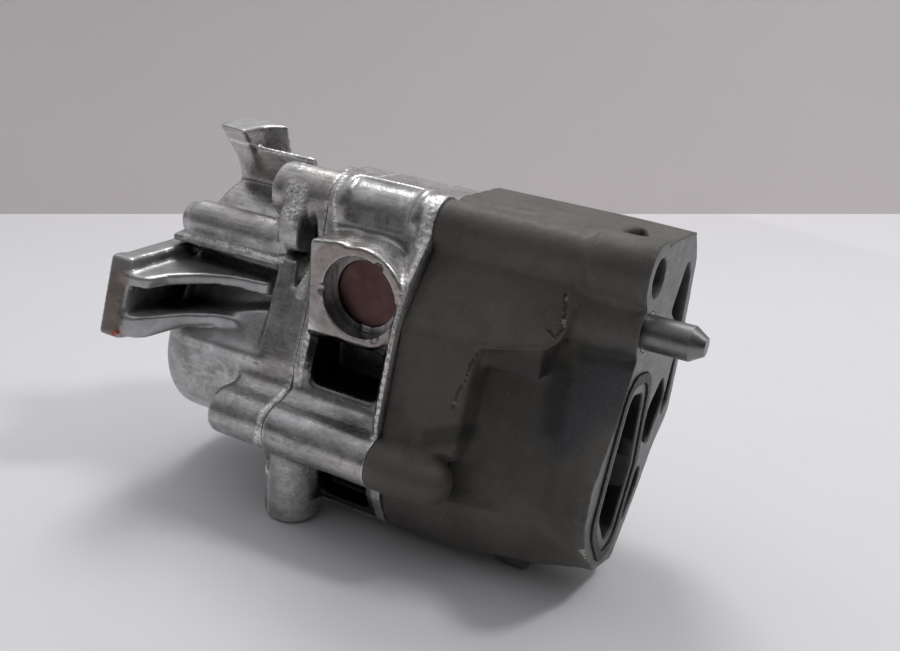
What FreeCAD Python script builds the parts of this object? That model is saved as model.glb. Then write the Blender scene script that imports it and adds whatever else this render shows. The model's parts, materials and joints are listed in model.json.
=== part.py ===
"""Engine oil pump: a spur gear pump in three bolted castings.

Frame: X runs along the pump axis and points out of the mounting flange, Z is up, and -Y is the side of the
relief valve port. The origin is the locating pin's axis on the flange face. All sizes are in millimetres.
"""
import FreeCAD
import Part
import math
import os

Vec = FreeCAD.Vector

# Lengths of the three castings along X, from the flange face towards the drive end
REAR_LENGTH = 52.0
BODY_LENGTH = 29.0
HEAD_LENGTH = 17.0
HEAD_FLANGE = 11.0
DRUM_LENGTH = 24.0

# Gear set
GEAR_TEETH = 13
GEAR_MODULE = 2.0
PRESSURE_ANGLE = 25.0
BACKLASH = 0.16
TIP_CLEARANCE = 0.25
SIDE_CLEARANCE = 0.10
GEAR_POCKET_DEPTH = 24.0
GEAR_AXES_LEAN = 30.0
DRIVE_Y = 15.0
DRIVE_Z = -12.0
DRUM_WALL = 5.25

# Shafts, bushes, seal and wear plate
SHAFT_RADIUS = 6.0
RUNNING_CLEARANCE = 0.03
SEAT_CLEARANCE = 0.02
BUSH_WALL = 2.5
FRONT_BUSH_LENGTH = 9.5
BODY_BUSH_LENGTH = 9.0
SHAFT_SEAL_RADIUS = 10.0
SHAFT_SEAL_WIDTH = 6.0
DRIVE_STUB_LENGTH = 5.0
DRIVE_STUB_RADIUS = 5.5
DRIVE_TANG_LENGTH = 4.0
DRIVE_TANG_RADIUS = 5.0
DRIVE_FLAT_DEPTH = 1.0
SHAFT_END_GAP = 0.6
KEY_WIDTH = 3.0
KEY_LENGTH = 14.0
KEY_HEIGHT = 3.0
WEAR_PLATE_THICKNESS = 1.5

# Ports between the gears and the flange
OUTLET_PORT_RADIUS = 4.0
INLET_PORT_RADIUS = 5.0
PORT_OFFSET = 9.4
GALLERY_FLOOR = 6.0

# Long mounting bolt column, its ear at the flange and the locating pin below it
COLUMN_A_Y = 1.4
COLUMN_A_Z = 12.0
COLUMN_A_RADIUS = 6.8
COLUMN_A_RIM = 1.2
PANEL_RAIL_WIDTH = 1.5
PANEL_RAIL_ANGLES = (87.0, 198.0)
MOUNT_HOLE_RADIUS = 4.4
EAR_RADIUS = 8.0
EAR_LENGTH = 14.0
PIN_RADIUS = 4.0
PIN_REACH = 13.0
PIN_CONE = 3.0
PIN_SEAT_RADIUS = 4.5
PIN_SEAT_DEPTH = 11.0
PIN_BOSS_WALL = 3.2
PIN_BOSS_LENGTH = 16.0

# Columns for the assembly screws
COLUMN_B_Y = -23.5
COLUMN_B_Z = -40.0
COLUMN_C_Y = 20.0
COLUMN_D_Y = 28.5
COLUMN_D_Z = 7.0
COLUMN_RADIUS = 6.3
COLUMN_STEP = 0.6
COLUMN_STEP_LENGTH = 7.5
FOOT_COLUMN_RADIUS = 8.0
COLUMN_REACH = 14.0
SCREW_RADIUS = 2.5
SCREW_HOLE_CLEARANCE = 0.25
SCREW_HEAD_RADIUS = 4.2
SCREW_HEAD_HEIGHT = 5.0
SCREW_SOCKET_RADIUS = 2.3
SCREW_SOCKET_DEPTH = 2.6
SCREW_THREAD_REACH = 12.0
DOWEL_WALL = 1.2
DOWEL_LENGTH = 8.0

# Relief valve, across the pump body
VALVE_X_FROM_REAR = 12.5
VALVE_Z = -4.3
PORT_FACE_Y = -16.0
PORT_BOSS_RADIUS = 12.4
PORT_BORE_RADIUS = 10.0
PORT_BORE_DEPTH = 5.0
STAKE_NOTCHES = 3
STAKE_NOTCH_RADIUS = 1.2
STAKE_NOTCH_DEPTH = 1.2
CAP_RADIUS = 8.5
CAP_THICKNESS = 2.5
CIRCLIP_THICKNESS = 1.0
CIRCLIP_WIDTH = 1.7
PISTON_RADIUS = 6.45
PISTON_CLEARANCE = 0.05
PISTON_LENGTH = 7.4
PISTON_BORE_DEPTH = 12.5
PISTON_CUP_RADIUS = 5.2
PISTON_CUP_DEPTH = 2.6
CHAMBER_RADIUS = 5.0
CHAMBER_DEPTH = 4.0
FEED_RADIUS = 1.5
SPILL_RADIUS = 1.2
SPILL_OFFSET = 1.8
SPRING_RADIUS = 4.2
SPRING_WIRE_RADIUS = 0.6
SPRING_TURNS = 4

# Ground level and the boss under the pump body
FLOOR_Z = -65.0
STUB_X_FROM_REAR = 26.0
STUB_Y = -19.5
STUB_RADIUS = 7.2
STUB_TOP_Z = -52.0
STUB_GAP = 0.3

# Bracket arm, flared pad and side tube on the front cover
ARM_TOP_Z = -6.8
ARM_HEIGHT = 19.5
ARM_PAD_Y = -26.0
ARM_PAD_LEAN = 5.6
ARM_POCKET_DEPTH = 3.4
ARM_RAIL_Y = -9.0
ARM_RAIL_RISE = 1.3
FAN_TOP_Z = 24.0
FAN_PLATE_TOP = 19.0
LUG_SETBACK = 4.8
LUG_THICKNESS = 6.2
LUG_REACH = 9.6
GAP_WIDTH = 4.8
SIDE_TUBE_Y = -3.4
SIDE_TUBE_Z = -0.4
SIDE_TUBE_RADIUS = 5.4
TUBE_PLUG_RADIUS = 4.4

# Seals
SEAM_SEAL_WIDTH = 1.6
SEAM_SEAL_DEPTH = 1.2
SEAM_SEAL_OFFSET = 1.6
PORT_SEAL_WIDTH = 1.5
PORT_SEAL_DEPTH = 1.2
FLANGE_SEAL_WIDTH = 2.4
FLANGE_SEAL_DEPTH = 2.4
FLANGE_SEAL_PROUD = 0.4
FLANGE_SEAL_OFFSET = 2.6

# Corners with a smaller rounding than this are left sharp
SHARP_RADIUS = 0.6

# Bulge of the rear housing and its pockets
BULGE_END = -14.0
LOWER_BULGE_LENGTH = 19.0
LIGHT_POCKET_DEPTH = 12.0
TOP_NOTCH_FLOOR = 11.5

# Levels along X worked out from the lengths
X_REAR = -REAR_LENGTH
X_SEAM = X_REAR - BODY_LENGTH
X_HEAD = X_SEAM - HEAD_LENGTH
X_FLANGE_BACK = X_SEAM - HEAD_FLANGE
X_DRUM = X_HEAD - DRUM_LENGTH
X_POCKET = X_SEAM - GEAR_POCKET_DEPTH
X_VALVE = X_REAR - VALVE_X_FROM_REAR
X_STUB = X_REAR - STUB_X_FROM_REAR
X_COLUMN_END = X_REAR + COLUMN_REACH
X_GALLERY = X_REAR + GALLERY_FLOOR
X_LUG = X_HEAD + LUG_SETBACK
X_GAP = X_LUG + LUG_THICKNESS

# Gear geometry
PITCH_RADIUS = GEAR_MODULE * GEAR_TEETH / 2.0
TIP_RADIUS = PITCH_RADIUS + GEAR_MODULE
ROOT_RADIUS = PITCH_RADIUS - 1.25 * GEAR_MODULE
POCKET_RADIUS = TIP_RADIUS + TIP_CLEARANCE
DRUM_RADIUS = POCKET_RADIUS + DRUM_WALL
LEAN = math.radians(GEAR_AXES_LEAN)
IDLER_Y = DRIVE_Y - 2.0 * PITCH_RADIUS * math.sin(LEAN)
IDLER_Z = DRIVE_Z - 2.0 * PITCH_RADIUS * math.cos(LEAN)
MESH_Y = (DRIVE_Y + IDLER_Y) / 2.0
MESH_Z = (DRIVE_Z + IDLER_Z) / 2.0
OUTLET_Y = MESH_Y - PORT_OFFSET * math.cos(LEAN)
OUTLET_Z = MESH_Z + PORT_OFFSET * math.sin(LEAN)
INLET_Y = MESH_Y + PORT_OFFSET * math.cos(LEAN)
INLET_Z = MESH_Z - PORT_OFFSET * math.sin(LEAN)
BUSH_RADIUS = SHAFT_RADIUS + BUSH_WALL
COLUMN_C_Z = FLOOR_Z + FOOT_COLUMN_RADIUS
SCREW_HOLE_RADIUS = SCREW_RADIUS + SCREW_HOLE_CLEARANCE
DOWEL_RADIUS = SCREW_HOLE_RADIUS + DOWEL_WALL
SCREW_COLUMNS = [
    (COLUMN_B_Y, COLUMN_B_Z, COLUMN_RADIUS),
    (COLUMN_C_Y, COLUMN_C_Z, FOOT_COLUMN_RADIUS),
    (COLUMN_D_Y, COLUMN_D_Z, COLUMN_RADIUS),
]
DOWEL_COLUMNS = [SCREW_COLUMNS[0], SCREW_COLUMNS[2]]


def cyl_x(y, z, radius, x0, x1):
    """Cylinder along X between two levels."""
    return Part.makeCylinder(radius, x1 - x0, Vec(x0, y, z), Vec(1, 0, 0))


def cyl_y(x, z, radius, y0, y1):
    """Cylinder along Y between two levels."""
    return Part.makeCylinder(radius, y1 - y0, Vec(x, y0, z), Vec(0, 1, 0))


def cyl_z(x, y, radius, z0, z1):
    """Cylinder along Z between two levels."""
    return Part.makeCylinder(radius, z1 - z0, Vec(x, y, z0), Vec(0, 0, 1))


def box(x0, x1, y0, y1, z0, z1):
    """Box between two corners."""
    return Part.makeBox(x1 - x0, y1 - y0, z1 - z0, Vec(x0, y0, z0))


def rounded_wire(corners, place):
    """Closed outline of (u, v, radius) corners, rounded unless the radius is tiny; place puts a point in space."""
    starts = []
    middles = []
    ends = []
    count = len(corners)
    for i in range(count):
        u, v, radius = corners[i]
        before = corners[i - 1]
        after = corners[(i + 1) % count]
        back = Vec(before[0] - u, before[1] - v, 0)
        ahead = Vec(after[0] - u, after[1] - v, 0)
        half = back.getAngle(ahead) / 2.0
        room = 0.48 * min(back.Length, ahead.Length)
        back.normalize()
        ahead.normalize()
        if radius <= SHARP_RADIUS:
            starts.append(Vec(u, v, 0))
            middles.append(None)
            ends.append(Vec(u, v, 0))
            continue
        reach = min(radius / math.tan(half), room)
        radius = reach * math.tan(half)
        corner = Vec(u, v, 0)
        inward = back + ahead
        inward.normalize()
        starts.append(corner + back * reach)
        ends.append(corner + ahead * reach)
        middles.append(corner + inward * (radius / math.sin(half) - radius))
    edges = []
    for i in range(count):
        following = (i + 1) % count
        if middles[i] is not None:
            edges.append(Part.Arc(place(starts[i]), place(middles[i]), place(ends[i])).toShape())
        edges.append(Part.LineSegment(place(ends[i]), place(starts[following])).toShape())
    return Part.Wire(edges)


def outline_x(corners, x):
    """Rounded outline of (y, z, radius) corners in the plane at x."""
    return rounded_wire(corners, lambda p: Vec(x, p.x, p.y))


def prism_x(corners, x0, x1):
    """Rounded outline of (y, z, radius) corners carried along X."""
    return Part.Face(outline_x(corners, x0)).extrude(Vec(x1 - x0, 0, 0))


def prism_y(corners, y0, y1):
    """Rounded outline of (x, z, radius) corners carried along Y."""
    wire = rounded_wire(corners, lambda p: Vec(p.x, y0, p.y))
    return Part.Face(wire).extrude(Vec(0, y1 - y0, 0))


def prism_z(corners, z0, z1):
    """Rounded outline of (x, y, radius) corners carried along Z."""
    wire = rounded_wire(corners, lambda p: Vec(p.x, p.y, z0))
    return Part.Face(wire).extrude(Vec(0, 0, z1 - z0))


def blend_x(corners0, x0, corners1, x1):
    """Solid that changes from one outline to another along X, corner by corner."""
    first = outline_x(corners0, x0)
    last = outline_x(corners1, x1)
    faces = [Part.makeRuledSurface(a, b) for a, b in zip(first.OrderedEdges, last.OrderedEdges)]
    shell = Part.Shell(faces + [Part.Face(first), Part.Face(last)])
    shell.sewShape()
    solid = Part.Solid(shell)
    if solid.Volume < 0.0:
        solid.reverse()
    return solid


def joined(first, others):
    """One solid from several that overlap or touch."""
    return first.fuse(others).removeSplitter()


def ring_x(y, z, inner, outer, x0, x1):
    """Plain ring along X."""
    return cyl_x(y, z, outer, x0, x1).cut(cyl_x(y, z, inner, x0 - 1, x1 + 1))


def ring_y(x, z, inner, outer, y0, y1):
    """Plain ring along Y."""
    return cyl_y(x, z, outer, y0, y1).cut(cyl_y(x, z, inner, y0 - 1, y1 + 1))


def oval(radius, x0, x1):
    """Two circles round the gear axes and the flat sides between them, carried along X."""
    side_y = radius * math.cos(LEAN)
    side_z = radius * math.sin(LEAN)
    up = Vec(0, radius * math.sin(LEAN), radius * math.cos(LEAN))
    drive = Vec(x0, DRIVE_Y, DRIVE_Z)
    idler = Vec(x0, IDLER_Y, IDLER_Z)
    front = Vec(0, -side_y, side_z)
    back = Vec(0, side_y, -side_z)
    wire = Part.Wire([
        Part.Arc(drive + front, drive + up, drive + back).toShape(),
        Part.LineSegment(drive + back, idler + back).toShape(),
        Part.Arc(idler + back, idler - up, idler + front).toShape(),
        Part.LineSegment(idler + front, drive + front).toShape(),
    ])
    return Part.Face(wire).extrude(Vec(x1 - x0, 0, 0))


def end_edges(shape, x):
    """Edges of a shape that lie wholly in the plane at x."""
    return [e for e in shape.Edges if abs(e.BoundBox.XMin - x) < 1e-4 and abs(e.BoundBox.XMax - x) < 1e-4]


def domed_column(y, z, radius, x0, x1):
    """Column along X with a domed end towards the flange."""
    column = cyl_x(y, z, radius, x0, x1)
    return column.makeFillet(0.96 * radius, end_edges(column, x1))


# Outlines of the castings: corners as (y, z, corner radius), taken round from the front of the top
def flange_outline():
    """Mounting flange face."""
    return [
        (-3.4, 7.0, 3.0), (-3.8, -2.5, 2.5), (-12.5, -17.5, 3.0), (-22.8, -29.0, 4.0), (-23.8, -38.0, 4.0),
        (-20.5, -46.0, 3.0), (-11.5, -56.0, 3.0), (3.0, -60.5, 3.0), (16.5, -48.5, 4.0), (24.5, -39.5, 4.0),
        (34.8, -33.5, 5.0), (36.2, -18.0, 8.0), (34.8, 8.5, 4.0), (29.4, 16.2, 2.0), (7.0, 18.6, 3.0),
    ]


def valley_outline():
    """Rear housing where it is slimmest, between the bulge and the flange."""
    return [
        (-1.0, 7.0, 3.0), (-2.5, -2.5, 2.5), (-7.5, -14.0, 3.0), (-12.0, -25.0, 4.0), (-15.5, -36.0, 4.0),
        (-17.5, -46.0, 3.0), (-14.5, -58.5, 3.0), (3.0, -61.0, 3.0), (16.5, -50.5, 4.0), (24.5, -41.5, 4.0),
        (34.6, -34.0, 5.0), (36.0, -18.0, 8.0), (34.6, 8.5, 4.0), (29.2, 16.6, 2.0), (7.0, 18.4, 3.0),
    ]


def body_outline():
    """Pump body and cover flange behind the port boss and columns."""
    return [
        (-5.5, 13.0, 2.0), (-8.0, 0.0, 4.0), (-13.0, -13.0, 6.0), (-17.2, -26.0, 5.0), (-18.6, -38.0, 2.0),
        (-15.0, -47.0, 3.0), (-13.5, -59.0, 3.0), (3.0, -61.0, 4.0), (20.0, -50.0, 6.0), (33.0, -34.0, 8.0),
        (35.0, -10.0, 8.0), (30.0, 14.5, 3.0), (6.0, 16.5, 3.0),
    ]


def kidney_outline():
    """Outlet gallery at the flange."""
    return [(-3.5, -14.5, 3.0), (6.0, -17.0, 3.0), (5.5, -36.0, 3.0), (-1.5, -50.5, 3.0), (-6.5, -50.5, 2.5),
            (-13.5, -41.0, 3.5), (-9.0, -28.0, 5.0)]


def inlet_outline():
    """Inlet gallery at the flange."""
    return [(13.5, -24.0, 2.5), (23.0, -18.5, 3.0), (27.0, -26.0, 3.0), (18.0, -36.0, 3.0), (12.0, -32.0, 2.5)]


def light_pocket_outlines():
    """Blind pockets that lighten the flange."""
    top = [(18.5, -1.0, 1.5), (26.5, 10.5, 2.0), (31.0, 5.0, 2.0), (31.5, -10.5, 2.0)]
    back = [(30.5, -15.5, 1.5), (32.5, -17.5, 1.5), (31.5, -29.5, 1.5), (25.5, -32.5, 1.5)]
    low = [(12.5, -39.5, 1.5), (16.0, -41.5, 1.5), (14.8, -45.8, 1.5), (7.6, -52.0, 1.0), (6.0, -51.0, 1.0)]
    return [top, back, low]


def screw_holes(x0, x1):
    """Clearance holes for the assembly screws."""
    return [cyl_x(y, z, SCREW_HOLE_RADIUS, x0, x1) for y, z, radius in SCREW_COLUMNS]


def dowel_holes(x):
    """Seats for the dowel sleeves, half in each casting."""
    half = DOWEL_LENGTH / 2.0
    radius = DOWEL_RADIUS + SEAT_CLEARANCE
    return [cyl_x(y, z, radius, x - half, x + half) for y, z, column in DOWEL_COLUMNS]


def bush_hole(y, z, x0, x1):
    """Seat for one bush."""
    return cyl_x(y, z, BUSH_RADIUS + SEAT_CLEARANCE, x0, x1)


# Front cover
def cover_drum():
    """Oval drum round the gears, with its outer end rounded."""
    drum = oval(DRUM_RADIUS, X_DRUM, X_SEAM)
    return drum.makeFillet(2.5, end_edges(drum, X_DRUM))


def cover_side_tube():
    """Oil tube along the drum, closed by a small plug, with the wall that carries it down to the arm's rail."""
    start = X_DRUM - 0.5
    tube = cyl_x(SIDE_TUBE_Y, SIDE_TUBE_Z, SIDE_TUBE_RADIUS, start, X_LUG + 1.0)
    tube = tube.makeFillet(1.2, end_edges(tube, start))
    plug = cyl_x(SIDE_TUBE_Y, SIDE_TUBE_Z, TUBE_PLUG_RADIUS, start - 3.0, start + 1.0)
    plug = plug.makeFillet(1.2, end_edges(plug, start - 3.0))
    wall = prism_x([(0.0, SIDE_TUBE_Z, 0.5), (-8.3, SIDE_TUBE_Z, 0.5), (-8.2, ARM_TOP_Z, 0.5), (0.0, ARM_TOP_Z, 0.5)],
                   X_DRUM + 1.0, X_FLANGE_BACK + 1.0)
    return [tube, plug, wall]


def arm_rail():
    """Rail along the top of the arm, which rises a little towards the flange."""
    def section(top):
        return [(0.0, top, 0.5), (ARM_RAIL_Y, top, 0.5), (ARM_RAIL_Y - 0.3, top - 2.0, 0.5), (0.0, top - 2.3, 0.5)]
    low = ARM_TOP_Z + 3.0
    return blend_x(section(low), X_DRUM - 5.0, section(low + ARM_RAIL_RISE), X_FLANGE_BACK + 1.0)


def arm_web(corner, low):
    """Side wall of the arm from the drum out to the pad."""
    plan = [(corner + 2.2, 4.0, 0.5), (corner + 2.2, -7.2, 2.5), (corner + 0.8, ARM_PAD_Y + 1.5, 0.5),
            (corner - 5.0, ARM_PAD_Y + 0.5, 0.5), (corner - 4.4, -2.0, 2.5), (corner - 4.0, 4.0, 0.5)]
    return prism_z(plan, low, ARM_TOP_Z)


def middle_rib(corner):
    """Rib halfway down the arm, curving from the pad along the drum."""
    plan = [(X_FLANGE_BACK - 3.0, 4.0, 0.5), (X_FLANGE_BACK - 3.0, -9.4, 1.5), (corner + 21.0, -11.2, 9.0),
            (corner + 14.2, -15.2, 9.0), (corner + 8.9, -21.0, 5.0), (corner + 6.8, -26.8, 1.4),
            (corner + 3.0, ARM_PAD_Y - 1.6, 1.0), (corner - 1.0, ARM_PAD_Y - 1.6, 0.5), (corner - 1.0, 4.0, 0.5)]
    band = prism_y([(corner - 2.0, ARM_TOP_Z - 3.2, 0.5), (X_FLANGE_BACK - 1.0, ARM_TOP_Z - 3.2, 0.5),
                    (X_FLANGE_BACK - 1.0, ARM_TOP_Z - 7.2, 0.5), (corner + 18.0, ARM_TOP_Z - 6.2, 9.0),
                    (corner - 2.0, ARM_TOP_Z - 6.4, 0.5)], ARM_PAD_Y - 4.0, 5.0)
    return band.common(prism_z(plan, ARM_TOP_Z - 12.0, ARM_TOP_Z))


def lower_rib(corner, low):
    """Thicker rib at the foot of the arm, running out along the drum."""
    band = prism_y([(corner - 4.0, low, 0.5), (corner + 5.8, low, 2.0), (corner + 12.5, low + 2.7, 3.0),
                    (X_HEAD - 1.5, low + 4.9, 0.5), (X_HEAD - 3.5, low + 6.6, 0.8), (corner + 18.5, low + 6.6, 5.0),
                    (corner - 4.0, low + 5.8, 0.5)], ARM_PAD_Y - 6.0, 5.0)
    plan = [(X_HEAD + 1.0, 4.0, 0.5), (X_HEAD + 1.0, -14.2, 0.5), (corner + 19.5, -15.4, 8.0),
            (corner + 13.0, -19.2, 8.0), (corner + 7.2, -26.6, 2.5), (corner + 4.0, -29.6, 1.8),
            (corner - 2.0, -29.6, 0.5), (corner - 2.0, 4.0, 0.5)]
    return band.common(prism_z(plan, low - 1.0, low + 9.0))


def drum_ledge():
    """Narrow ledge along the drum under the arm."""
    return prism_x([(-14.0, -24.6, 0.5), (-17.6, -25.8, 0.5), (-18.2, -28.0, 0.5), (-14.0, -29.0, 0.5)],
                   X_DRUM + 3.0, X_FLANGE_BACK + 1.0)


def cover_arm():
    """Ribbed bracket arm: side wall, rail, two ribs, end pad and the ledge below."""
    corner = X_DRUM - 4.0
    low = ARM_TOP_Z - ARM_HEIGHT
    pad = prism_x([(ARM_PAD_Y, ARM_TOP_Z + 0.4, 0.8), (ARM_PAD_Y - ARM_PAD_LEAN, low - 0.3, 0.8),
                   (ARM_PAD_Y - ARM_PAD_LEAN + 5.5, low - 1.0, 0.8), (ARM_PAD_Y + 4.0, ARM_TOP_Z, 0.8)],
                  corner - 5.5, corner + 1.2)
    return joined(arm_web(corner, low), [arm_rail(), middle_rib(corner), lower_rib(corner, low), pad, drum_ledge()])


def cover_arm_pocket():
    """Hollow in the drum wall behind the arm's ribs, its floor rising towards the flange."""
    depth = DRUM_RADIUS - ARM_POCKET_DEPTH
    front = depth * math.cos(LEAN)
    rise = depth * math.sin(LEAN)
    slope = math.tan(LEAN)

    def floor_y(z):
        return DRIVE_Y - front - (DRIVE_Z + rise - z) * slope

    top = ARM_TOP_Z + ARM_RAIL_RISE
    low = ARM_TOP_Z - ARM_HEIGHT + 4.0
    hollow = prism_x([(floor_y(top), top, 0.5), (floor_y(low), low, 0.5), (-30.0, low, 0.5), (-30.0, top, 0.5)],
                     X_DRUM + 2.2, X_FLANGE_BACK - 0.8)
    reach = prism_y([(X_DRUM + 2.2, top, 0.5), (X_FLANGE_BACK - 0.8, top, 0.5),
                     (X_FLANGE_BACK - 0.8, ARM_TOP_Z - 9.2, 1.5), (X_HEAD - 9.0, ARM_TOP_Z - 12.8, 5.0),
                     (X_DRUM + 7.0, low + 1.0, 3.0), (X_DRUM + 2.2, low + 1.2, 1.5)], -31.0, 5.0)
    hollow = hollow.common(reach)
    corner = X_DRUM - 4.0
    kept = [arm_rail(), middle_rib(corner), lower_rib(corner, ARM_TOP_Z - ARM_HEIGHT)]
    return hollow.cut(kept)


def cover_fan():
    """Flared bracket pad on the crest of the drum, hollow in front, with the plate that stiffens it."""
    x = X_DRUM + 8.0
    foot = DRIVE_Z + DRUM_RADIUS - 3.0
    low = [(x - 7.8, 13.0, 0.5), (x - 3.0, 12.8, 0.5), (x + 1.0, 14.5, 2.0), (x + 7.0, 14.6, 0.5),
           (x + 6.0, 20.0, 0.5), (x - 7.6, 20.0, 0.5)]
    high = [(x - 8.6, 4.0, 0.5), (x + 0.7, 2.6, 0.5), (x + 0.8, 11.5, 4.0), (x + 5.0, 16.4, 0.5),
            (x - 7.0, 19.0, 0.5), (x - 10.6, 14.7, 0.5)]
    wires = [rounded_wire(low, lambda p: Vec(p.x, p.y, foot)),
             rounded_wire(high, lambda p: Vec(p.x, p.y, FAN_TOP_Z))]
    fan = Part.makeLoft(wires, True, True)
    plate = prism_x([(8.0, FAN_PLATE_TOP, 0.5), (12.2, foot, 0.5), (15.2, foot, 0.5), (10.2, FAN_PLATE_TOP, 0.5)],
                    x - 6.8, X_HEAD + 3.0)
    return joined(fan, [plate])


def cover_lug():
    """Rough-edged lug that stands out between the long column and the arm."""
    return prism_x([(2.0, COLUMN_A_Z + 4.6, 0.5), (-4.6, COLUMN_A_Z + 3.2, 1.0), (-LUG_REACH + 0.6, 8.0, 1.4),
                    (-LUG_REACH, 3.0, 3.0), (-LUG_REACH + 1.2, 0.0, 1.5), (-5.0, -1.2, 1.5), (6.0, -1.5, 0.5),
                    (8.0, COLUMN_A_Z, 0.5)], X_LUG, X_GAP)


def cover_gap():
    """Deep slot between the lug and the pump body, wider below, ending in a notch."""
    plan = prism_y([(X_FLANGE_BACK - 1.0, 15.0, 0.5), (X_FLANGE_BACK - 1.0, -2.4, 0.5), (X_GAP, -2.4, 0.5),
                    (X_GAP, -8.5, 0.5), (X_GAP + 1.2, -8.5, 0.5), (X_GAP + GAP_WIDTH, -1.0, 0.5),
                    (X_GAP + GAP_WIDTH, 2.0, 0.5), (X_GAP + 1.6, 15.0, 0.5)], -25.0, 4.0)
    reach = prism_x([(-25.0, 16.0, 0.5), (-25.0, -9.0, 0.5), (-3.6, -9.0, 0.5), (-2.4, -3.0, 0.5), (1.5, 2.0, 0.5),
                     (2.6, 16.0, 0.5)], X_FLANGE_BACK - 2.0, X_SEAM)
    return plan.common(reach)


def column_webs(x0, x1):
    """Webs that carry the two lower screw columns."""
    front = prism_x([(-12.0, -29.5, 1.0), (COLUMN_B_Y, COLUMN_B_Z + COLUMN_RADIUS - 0.4, 1.0),
                     (COLUMN_B_Y, COLUMN_B_Z - 4.5, 1.0), (-10.0, -48.0, 1.0)], x0, x1)
    back = prism_x([(6.0, -50.0, 1.0), (COLUMN_C_Y - 6.0, COLUMN_C_Z - 4.0, 1.0),
                    (COLUMN_C_Y + 5.0, COLUMN_C_Z + 3.0, 1.0), (28.0, -38.0, 1.0)], x0, x1)
    return [front, back]


def cover_columns():
    """Ends of the long column and the screw columns."""
    columns = [cyl_x(COLUMN_A_Y, COLUMN_A_Z, COLUMN_A_RADIUS + 0.4, X_HEAD, X_SEAM)]
    for y, z, radius in SCREW_COLUMNS:
        column = cyl_x(y, z, radius, X_HEAD, X_SEAM)
        columns.append(column.makeFillet(1.0, end_edges(column, X_HEAD)))
    return columns


def make_front_cover():
    flange = prism_x(body_outline(), X_FLANGE_BACK, X_SEAM).cut(cover_gap())
    drum = cover_drum().cut(cover_arm_pocket())
    solids = [flange, cover_arm(), cover_fan(), cover_lug()] + cover_side_tube()
    cover = joined(drum, solids + column_webs(X_HEAD + 1.5, X_SEAM) + cover_columns())
    cuts = [oval(POCKET_RADIUS, X_POCKET, X_SEAM + 1.0)]
    cuts.append(cyl_z(X_STUB, STUB_Y, STUB_RADIUS + STUB_GAP, FLOOR_Z - 1.0, STUB_TOP_Z + STUB_GAP))
    for y, z in ((DRIVE_Y, DRIVE_Z), (IDLER_Y, IDLER_Z)):
        cuts.append(bush_hole(y, z, X_POCKET - FRONT_BUSH_LENGTH, X_POCKET + 1.0))
    cuts.append(cyl_x(DRIVE_Y, DRIVE_Z, SHAFT_RADIUS + 1.0, X_DRUM - 1.0, X_POCKET))
    cuts.append(cyl_x(DRIVE_Y, DRIVE_Z, SHAFT_SEAL_RADIUS + SEAT_CLEARANCE, X_DRUM - 1.0,
                      X_DRUM + SHAFT_SEAL_WIDTH))
    cuts.append(cyl_x(COLUMN_A_Y, COLUMN_A_Z, MOUNT_HOLE_RADIUS, X_DRUM, X_SEAM + 1.0))
    cuts += screw_holes(X_HEAD - 1.0, X_SEAM + 1.0)
    cuts += dowel_holes(X_SEAM)
    for y, z, radius in SCREW_COLUMNS:
        cuts.append(cyl_x(y, z, SCREW_HEAD_RADIUS + SCREW_HOLE_CLEARANCE, X_DRUM - 1.0,
                          X_HEAD + SCREW_HEAD_HEIGHT + 0.5))
    return cover.cut(cuts)


# Pump body
def body_port_boss():
    """Round boss that the relief valve is fitted through."""
    boss = cyl_y(X_VALVE, VALVE_Z, PORT_BOSS_RADIUS, PORT_FACE_Y, 6.0)
    left = X_VALVE - PORT_BOSS_RADIUS - 1.6
    block = prism_y([(left, VALVE_Z + 11.4, 0.8), (X_VALVE - 3.0, VALVE_Z + PORT_BOSS_RADIUS + 0.6, 5.0),
                     (X_VALVE + 2.0, VALVE_Z, 2.0), (X_VALVE - 2.0, VALVE_Z - 11.0, 2.0),
                     (left, VALVE_Z - 13.0, 1.0)], PORT_FACE_Y, 6.0)
    return joined(boss, [block])


def column_rail(angle, x0, x1):
    """Square rail along the long column, at an angle from +Y."""
    turn = math.radians(angle)
    along = Vec(0, -math.sin(turn), math.cos(turn)) * (PANEL_RAIL_WIDTH / 2.0)
    out = Vec(0, math.cos(turn), math.sin(turn))
    axis = Vec(x0, COLUMN_A_Y, COLUMN_A_Z)
    inner = axis + out * (COLUMN_A_RADIUS - 2.0)
    outer = axis + out * (COLUMN_A_RADIUS + COLUMN_A_RIM)
    wire = Part.makePolygon([inner - along, outer - along, outer + along, inner + along, inner - along])
    return Part.Face(wire).extrude(Vec(x1 - x0, 0, 0))


def body_long_column():
    """Long column with the raised frame round its sunk panel."""
    inner = cyl_x(COLUMN_A_Y, COLUMN_A_Z, COLUMN_A_RADIUS, X_SEAM, X_REAR)
    rim_radius = COLUMN_A_RADIUS + COLUMN_A_RIM
    forms = []
    for x0, x1 in ((X_SEAM + 3.2, X_SEAM + 5.0), (X_REAR - 6.0, X_REAR - 4.2)):
        forms.append(cyl_x(COLUMN_A_Y, COLUMN_A_Z, rim_radius, x0, x1))
    forms.append(cyl_x(COLUMN_A_Y, COLUMN_A_Z, COLUMN_A_RADIUS + 0.5, X_SEAM, X_SEAM + 3.5))
    forms.append(cyl_x(COLUMN_A_Y, COLUMN_A_Z, COLUMN_A_RADIUS + 0.6, X_REAR - 2.6, X_REAR))
    for angle in PANEL_RAIL_ANGLES:
        forms.append(column_rail(angle, X_SEAM + 4.0, X_REAR - 5.0))
    return joined(inner, forms)


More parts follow.
